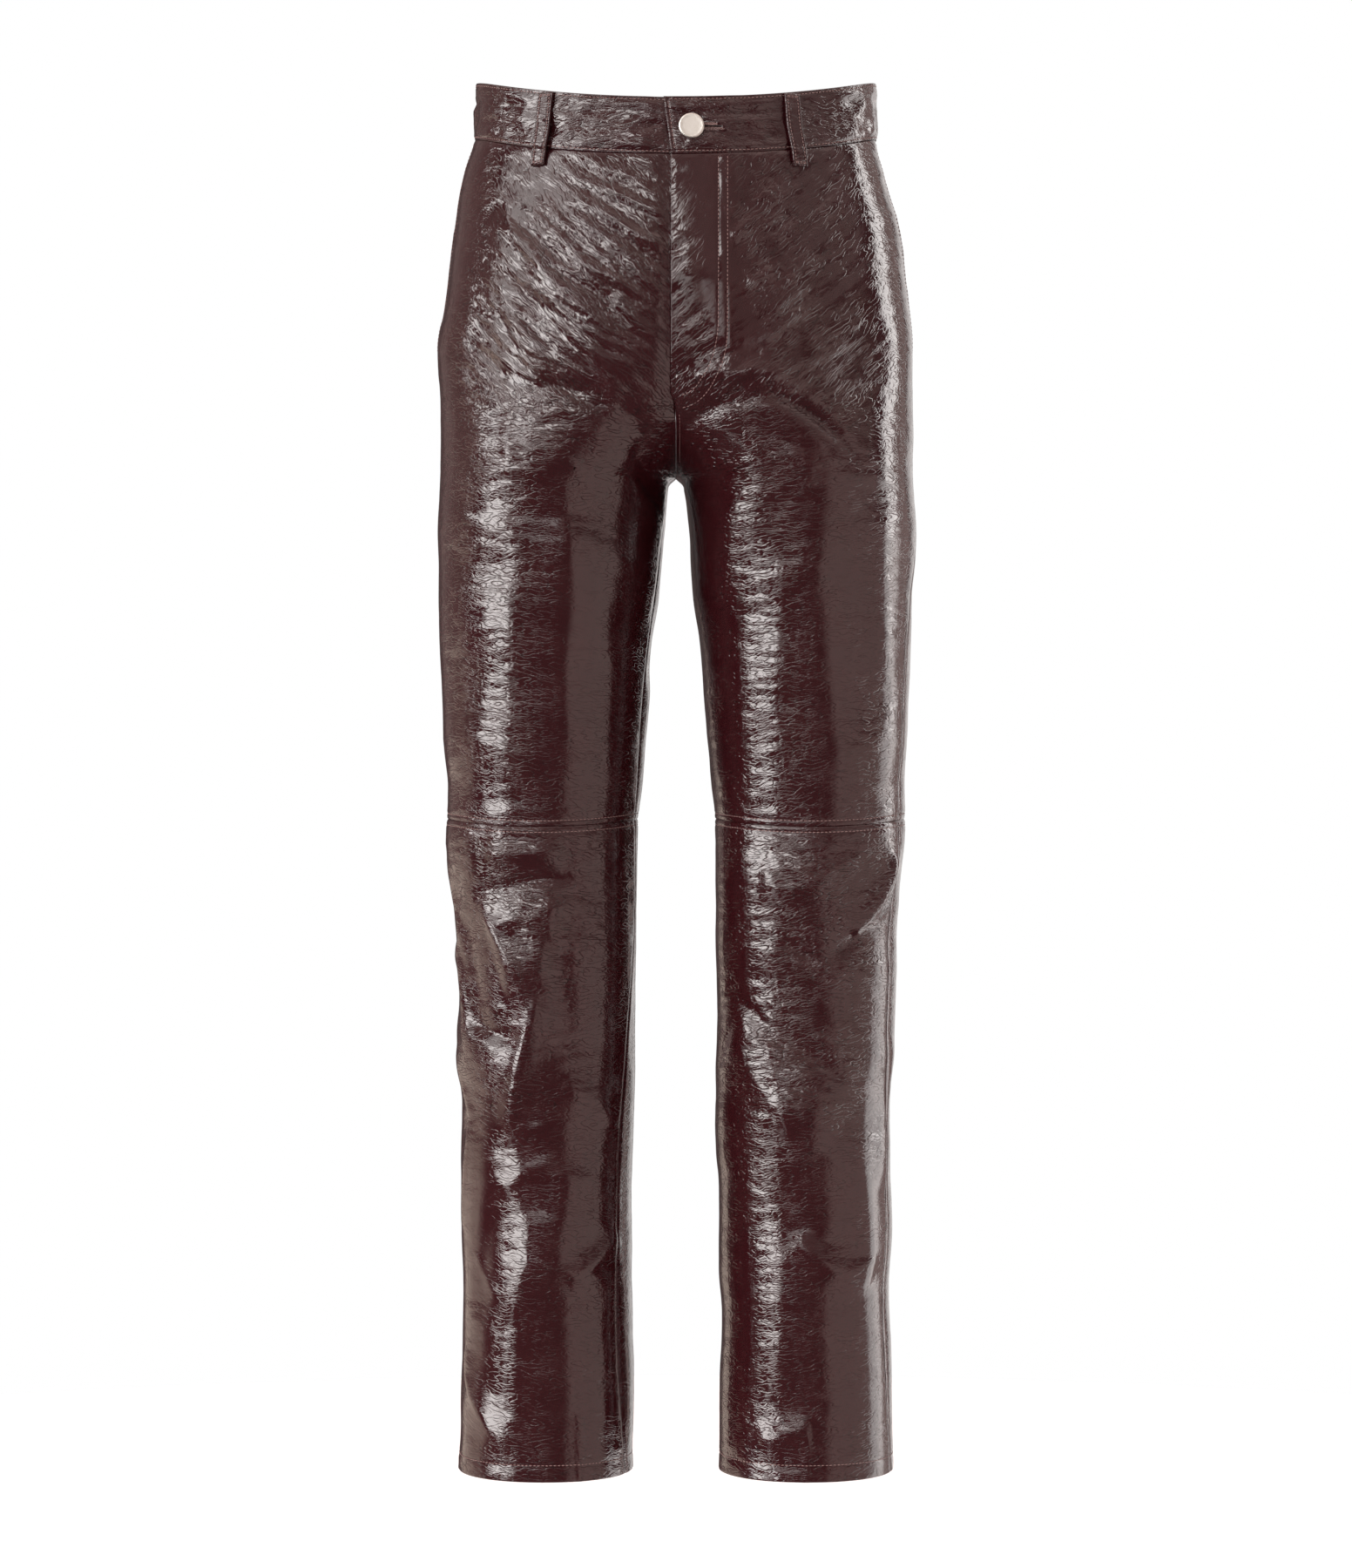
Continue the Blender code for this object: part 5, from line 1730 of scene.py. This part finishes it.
@dataclass
class WaistButton:
    """The flat metal button on its shank, with the keyhole in the band beside it."""

    radius: float = 9.3
    thickness: float = 2.2
    clear: float = 0.5
    shank: float = 2.9
    steps: int = 96

    def place(self) -> Matrix:
        """Return the frame whose +Z points out of the cloth at the button, in metres."""
        column = COLUMNS[Side.LEFT]
        height = np.array(BUTTON_HEIGHT)
        angle = column.angle_of(np.array(BUTTON_ACROSS), height)
        lift = BAND_PROUD + OVERLAP_LIFT
        point = column.surface(angle, height, lift)
        above = column.surface(angle, height + 5.0, lift)
        beside = column.surface(angle - 2.0, height, lift)
        up = Vector(above - point).normalized()
        outward = up.cross(Vector(beside - point)).normalized() * -1.0
        across = up.cross(outward).normalized()
        turn = Matrix((across, up, outward)).transposed()
        return Matrix.Translation(Vector(point) * MM) @ turn.to_4x4()

    def placed(self, local: Grid) -> Grid:
        """Return points of the button's own frame in the garment's, in millimetres."""
        matrix = np.array(self.place())
        return local @ matrix[:3, :3].T + matrix[:3, 3] / MM

    def build(self, wardrobe: Wardrobe) -> Piece:
        """Turn the button's profile: a dished face inside a low rim, rounded at its edge."""
        back, face = self.clear, self.clear + self.thickness
        edge = np.linspace(-math.pi / 2.0, math.pi / 2.0, 13)
        half = self.thickness / 2.0
        profile = [(0.02, -BAND_CLOTH), (self.shank, -BAND_CLOTH), (self.shank, back)]
        rim = self.radius - half
        profile += [(rim + half * math.cos(turn), back + half + half * math.sin(turn)) for turn in edge]
        inner = ((1.5, 0.01), (1.8, 0.05), (2.2, 0.09))
        profile += [(self.radius - inset, face - drop) for inset, drop in inner]
        profile += [(self.radius * share, face - 0.10 - 0.02 * (1.0 - share)) for share in (0.6, 0.4, 0.2)]
        profile += [(0.02, face - 0.12)]
        line = np.array(profile)
        turns = np.linspace(0.0, 2.0 * math.pi, self.steps, endpoint=False)
        out, level = line[:, :1], line[:, 1:] + np.zeros(self.steps)
        points = np.stack((out * np.cos(turns), out * np.sin(turns), level), -1)
        index = np.arange(points[..., 0].size).reshape(len(line), self.steps)
        after = np.roll(index, -1, axis=1)
        quads = np.stack((index[:-1], after[:-1], after[1:], index[1:]), -1).reshape(-1, 4)
        faces = [quads, index[:1], index[-1:, ::-1]]
        item = make_mesh("button_face", self.placed(points.reshape(-1, 3)), faces)
        item.data.set_sharp_from_angle(angle=math.radians(40.0))
        item.data.materials.append(wardrobe.nickel)
        return own(item, "pale_nickel", "button")

    def hole_outline(self, grow: float, count: int) -> Grid:
        """Return the keyhole's outline in the button's plane: a round eye and a straight slit."""
        radius, half = HOLE_RADIUS + grow, SLIT_WIDTH / 2.0 + grow
        opening = math.asin(half / radius)
        turns = np.linspace(opening, 2.0 * math.pi - opening, count)
        eye = np.stack((radius * np.cos(turns), radius * np.sin(turns)), -1)
        far = SLIT_LENGTH + grow
        return np.concatenate((eye, [(far, -half), (far, half), eye[0]]))

    def cut_hole(self, band: Piece) -> None:
        """Cut the keyhole through the waistband's left end."""
        outline = self.hole_outline(0.0, 24)[:-1]
        count, depth = len(outline), 4.0 * BAND_CLOTH
        ends = [np.insert(outline, 2, level, axis=1) for level in (-depth, depth)]
        points = self.placed(np.concatenate(ends))
        here = np.arange(count)
        there = np.roll(here, -1)
        sides = np.stack((here, there, there + count, here + count), -1)
        cutter = make_mesh("buttonhole_cutter", points, [sides, here[None, ::-1], here[None] + count])
        cutter.data.materials.append(band.data.materials[1])
        cut = band.modifiers.new("buttonhole", "BOOLEAN")
        cut.operation = "DIFFERENCE"
        cut.object = cutter
        with bpy.context.temp_override(object=band, active_object=band):
            bpy.ops.object.modifier_apply(modifier=cut.name)
        bpy.data.objects.remove(cutter, do_unlink=True)

    def purl(self) -> Rows:
        """Return the closely set stitches across the keyhole's edge, each a short path."""
        outward = np.array(self.place())[:3, 2]
        inner, outer = self.hole_outline(0.15, 60), self.hole_outline(2.1, 60)

        def even(outline: Grid, count: int) -> Grid:
            """Points at even shares of an outline's length."""
            run = running(outline)
            return read_path(run, outline, np.linspace(0.0, run[-1], count))

        rows = []
        for near, far in zip(even(inner, 74), even(outer, 74)):
            if near[0] >= HOLE_RADIUS * 0.6:
                local = np.array([(*near, 0.25), (*((near + far) / 2.0), 0.45), (*far, 0.15)])
                rows.append((self.placed(local), np.tile(outward, (3, 1))))
        return rows


# ---------------------------------------------------------------- seams


@dataclass
class Seams:
    """All the topstitching, gathered by place."""

    plain: Topstitch = field(default_factory=Topstitch)
    pocket_inset: float = 6.0

    def knees(self) -> Rows:
        """Return the two rows above and below each knee seam."""
        rows = []
        for side in Side:
            for face in Face:
                for span, drop in ((Span.THIGH, TOPSTITCH), (Span.SHIN, -TOPSTITCH)):
                    panel = LegPanel(side, face, span)
                    shares = np.linspace(0.004, 0.996, 200)
                    heights = panel.on_line(knee_seam, shares) + drop
                    angles = panel.angles(heights, shares)
                    rows.append(path_on(COLUMNS[side], angles, heights, -0.34))
        return rows

    def hems(self) -> Rows:
        """Return the row that holds each hem."""
        rows = []
        for side in Side:
            for face in Face:
                panel = LegPanel(side, face, Span.SHIN)
                shares = np.linspace(0.004, 0.996, 200)
                heights = np.full(shares.shape, HEM + HEM_TURN - 1.0)
                angles = panel.angles(heights, shares)
                rows.append(path_on(COLUMNS[side], angles, heights, -0.22))
        return rows

    def fly(self) -> Rows:
        """Return the two curved rows beside the fly.

        Each runs straight down at its distance from the centre line, and then follows a quarter
        ellipse in to that line.
        """
        column = COLUMNS[Side.LEFT]
        panel = LegPanel(Side.LEFT, Face.FRONT, Span.THIGH)
        rows = []
        for distance, foot in zip(FLY_ROWS, FLY_ROW_FEET):
            top = float(waist_seam(np.array(80.0))) - 1.0
            bend = foot + FLY_BEND
            straight = np.linspace(top, bend, 90)
            turn = np.linspace(0.0, math.radians(84.0), 60)
            across = np.concatenate((np.full(90, distance), distance * np.cos(turn[1:])))
            heights = np.concatenate((straight, bend - FLY_BEND * np.sin(turn[1:])))
            angles = column.angle_of(across, heights)
            rows.append(path_on(column, angles, heights, panel.offset(angles, heights) - FLY_CHANNEL * 0.5))
        return rows

    def centre(self) -> Rows:
        """Return the row beside the centre seam below the fly, and beside the back seam."""
        rows = []
        for side, face, low in ((Side.LEFT, Face.FRONT, -268.0), (Side.LEFT, Face.BACK, -262.0)):
            column = COLUMNS[side]
            top = FLY_JOINED - 3.0 if face is Face.FRONT else float(waist_seam(np.array(-90.0))) - 1.0
            heights = np.linspace(top, low, 90)
            angles = face.sign * column.angle_of(np.full(90, 2.6), heights)
            panel = LegPanel(side, face, Span.THIGH)
            rows.append(path_on(column, angles, heights, panel.offset(angles, heights) - 0.22))
        return rows

    def pockets(self) -> Rows:
        """Return the row beside each pocket's front edge, with a tack at either end."""
        rows = []
        for side in Side:
            column = COLUMNS[side]
            panel = LegPanel(side, Face.FRONT, Span.THIGH)
            heights = np.linspace(float(waist_seam(np.array(0.0))) - 2.0, POCKET_FOOT, 100)
            angles = np.degrees(self.pocket_inset / column.ellipse(heights)[3]) + column.turn(heights)
            rows.append(path_on(column, angles, heights, panel.offset(angles, heights) - 0.02))
            for level in (-36.0, POCKET_FOOT):
                across = np.linspace(0.8, self.pocket_inset, 12)
                flat = np.full(across.shape, level)
                tack = np.degrees(across / column.ellipse(flat)[3])
                rows.append(path_on(column, tack, flat, panel.offset(tack, flat) + 0.05))
        return rows

    def build(
        self, wardrobe: Wardrobe, bands: Sequence[Waistband], loops: Sequence[BeltLoop], button: WaistButton
    ) -> None:
        """Sew every row, joined into one piece for each place."""
        fine = Topstitch(pitch=2.6, length=2.2, width=0.5, rise=0.4)
        across = Topstitch(pitch=1.0, length=2.2, width=0.34, rise=0.34)
        for name, rows, stitch in (
            ("knee", self.knees(), self.plain),
            ("hem", self.hems(), self.plain),
            ("fly", self.fly() + self.centre(), self.plain),
            ("pocket", self.pockets(), self.plain),
            ("waistband", [row for band in bands for row in band.rows_of_stitches()], self.plain),
            ("belt_loop", [row for loop in loops for row in loop.rows_of_stitches()], fine),
            ("buttonhole", button.purl(), across),
        ):
            sew(f"{name}_stitches", rows, stitch, wardrobe.thread)


# ---------------------------------------------------------------- studio


MAUVE = (1.0, 0.78, 0.72)
OLIVE = (1.0, 0.86, 0.70)


def between(value: Wire, low: float, high: float, soft: float) -> Wire:
    """Return 1 between two values and 0 beyond them, with soft edges."""
    half = soft / 2.0
    return value.step(low - half, low + half) * value.step(high + half, high - half)


def lamp(graph: Graph, colour: Colour, strength: Wire | float) -> Wire:
    """Return a background of that colour and strength."""
    return graph.node("ShaderNodeBackground", None, {"Color": opaque(colour), "Strength": strength})


@dataclass(frozen=True)
class Softbox:
    """A lit stretch of the studio round the garment, as azimuths in degrees from the camera.

    Azimuth 0 is the camera's side and +90 is the picture's right. The lit stretch fades over
    its soft edge, and reaches from its lowest to its highest elevation, where it fades over
    its hazy share of the height. A box that leans is turned back by that much above eye level.
    """

    start: float
    stop: float
    soft: float
    lowest: float
    highest: float
    glow: float
    colour: Colour = (1.0, 0.97, 0.95)
    haze: float = 0.05
    lean: float = 0.0


@dataclass
class Studio:
    """Camera, floor and the light all round."""

    distance: float = 3.0
    level: float = -0.504
    half_angle: float = 11.05
    sensor: float = 36.0
    floor_level: float = -1.30
    floor_radius: float = 2.4
    ambient: Colour = (0.108, 0.084, 0.081)
    overhead: float = 0.9
    boxes: tuple[Softbox, ...] = (
        # The tall box at the picture's left, which widens, turns away and dims higher up
        Softbox(-58, -40, 5, -7.6, -5.5, 8, haze=0.012),
        Softbox(-72, -38, 8, -5.5, 11, 8, haze=0.012, lean=8),
        Softbox(-98, -58, 10, 11, 17.5, 6, haze=0.02),
        Softbox(-78, -44, 12, 17.5, 52, 2.4, haze=0.06),
        Softbox(-56, -50, 4, -52, -9, 0.9, haze=0.04),
        # In front: a low band of light, and the ceiling's bright edge
        Softbox(-46, 4, 14, 2, 10.5, 1.5, haze=0.03),
        Softbox(-50, -4, 11, 19, 27.5, 5.6, haze=0.04),
        Softbox(-50, 6, 14, 14, 46, 0.26, MAUVE, haze=0.06),
        Softbox(4, 34, 10, 8, 40, 0.24, MAUVE, haze=0.04),
        Softbox(3, 14, 4, 1, 8, 0.40, MAUVE, haze=0.04),
        # The wide reflector at its right, dimmer above eye level, and the strip beyond it
        Softbox(26, 92, 12, -52, 5, 0.66, MAUVE, haze=0.06),
        Softbox(42, 92, 14, 5, 17, 0.12, MAUVE, haze=0.06),
        Softbox(34, 92, 14, 17, 52, 0.42, MAUVE, haze=0.06),
        Softbox(94, 124, 9, -52, 2, 2.6),
        Softbox(104, 117, 5, 1, 52, 5.4),
        Softbox(112, 142, 10, -52, 52, 0.55, MAUVE),
        # Behind the garment
        Softbox(-152, -90, 10, -52, 52, 0.22, MAUVE),
        Softbox(-150, -98, 14, -52, -4, 0.80, OLIVE, haze=0.08),
        Softbox(148, 172, 8, -52, 52, 0.9),
    )

    def add_camera(self) -> None:
        """Place the level camera in front, on the garment's centre line."""
        data = bpy.data.cameras.new("camera")
        data.sensor_width = self.sensor
        data.lens = self.sensor / 2.0 / math.tan(math.radians(self.half_angle))
        data.clip_end = 100.0
        camera = bpy.data.objects.new("camera", data)
        camera.location = (0.0, -self.distance, self.level)
        camera.rotation_euler = (math.pi / 2.0, 0.0, 0.0)
        bpy.context.collection.objects.link(camera)
        bpy.context.scene.camera = camera

    def add_floor(self) -> None:
        """Lay a round floor below the garment."""
        rings, around = 12, 96
        radius = np.linspace(0.02, self.floor_radius, rings)[:, None] / MM
        turns = np.linspace(0.0, 2.0 * math.pi, around, endpoint=False)
        level = np.full((rings, around), self.floor_level / MM)
        points = np.stack((radius * np.cos(turns), radius * np.sin(turns), level), -1)
        index = np.arange(rings * around).reshape(rings, around)
        after = np.roll(index, -1, axis=1)
        quads = np.stack((index[:-1], index[1:], after[1:], after[:-1]), -1).reshape(-1, 4)
        floor = make_mesh("floor", points.reshape(-1, 3), [quads, index[:1]])
        floor.data.materials.append(PalePaint().material())
        floor.visible_glossy = False

    def add_light(self) -> None:
        """Light the studio from all round: softboxes by azimuth, a dim ceiling, and white behind.

        A direction's azimuth is the angle whose tangent is x over minus y. Each softbox adds its
        glow between its two azimuths and two elevations, with soft edges.
        """
        world = bpy.data.worlds.new("studio")
        world.use_nodes = True
        bpy.context.scene.world = world
        graph = Graph(world.node_tree)
        direction = graph.node("ShaderNodeTexCoord", out="Generated")
        parts = graph.tree.nodes.new("ShaderNodeSeparateXYZ")
        graph.tree.links.new(direction.socket, parts.inputs[0])
        x, y, z = (Wire(graph, parts.outputs[axis]) for axis in range(3))
        turn = x.turn_from(0.0 - y)
        around = lamp(graph, self.ambient, 1.0)
        lamps = [lamp(graph, MAUVE, z.step(0.55, 0.95) * self.overhead)]
        for box in self.boxes:
            azimuth = turn + z.step(-0.03, 0.07) * math.radians(box.lean) if box.lean else turn
            low, high, soft = (math.radians(value) for value in (box.start, box.stop, box.soft))
            floor, top = (math.sin(math.radians(value)) for value in (box.lowest, box.highest))
            lit = between(azimuth, low, high, soft) * between(z, floor, top, box.haze)
            lamps.append(lamp(graph, box.colour, lit * box.glow))
        for lit in lamps:
            around = graph.node("ShaderNodeAddShader", None, {0: around, 1: lit})
        white = lamp(graph, (1.0, 1.0, 1.0), 1.0)
        seen = graph.node("ShaderNodeLightPath", out="Is Camera Ray")
        shown = graph.node("ShaderNodeMixShader", None, {0: seen, 1: around, 2: white})
        graph.node("ShaderNodeOutputWorld", None, {"Surface": shown})

    def build(self) -> None:
        """Set up the whole studio."""
        self.add_camera()
        self.add_floor()
        self.add_light()
        bpy.context.scene.view_settings.view_transform = "Standard"


def main() -> None:
    """Make every piece."""
    logging.basicConfig(level=logging.INFO, format="%(name)s: %(message)s")
    wardrobe = Wardrobe(
        coating=PatentCoating().material(),
        backing=WovenBacking().material(),
        thread=SewingThread().material(),
        nickel=PaleNickel().material(),
    )
    Studio().build()
    for side in Side:
        for face in Face:
            for span in Span:
                LegPanel(side, face, span).build(wardrobe)
    bands = [Waistband(side) for side in Side]
    made = {band.side: band.build(wardrobe) for band in bands}
    button = WaistButton()
    button.cut_hole(made[Side.LEFT])
    button.build(wardrobe)
    FlyShield().build(wardrobe)
    for side in Side:
        PocketFacing(side).build(wardrobe)
    loops = [BeltLoop(place) for place in LOOPS]
    for loop in loops:
        loop.build(wardrobe)
    Seams().build(wardrobe, bands, loops, button)


if __name__ == "__main__":
    main()
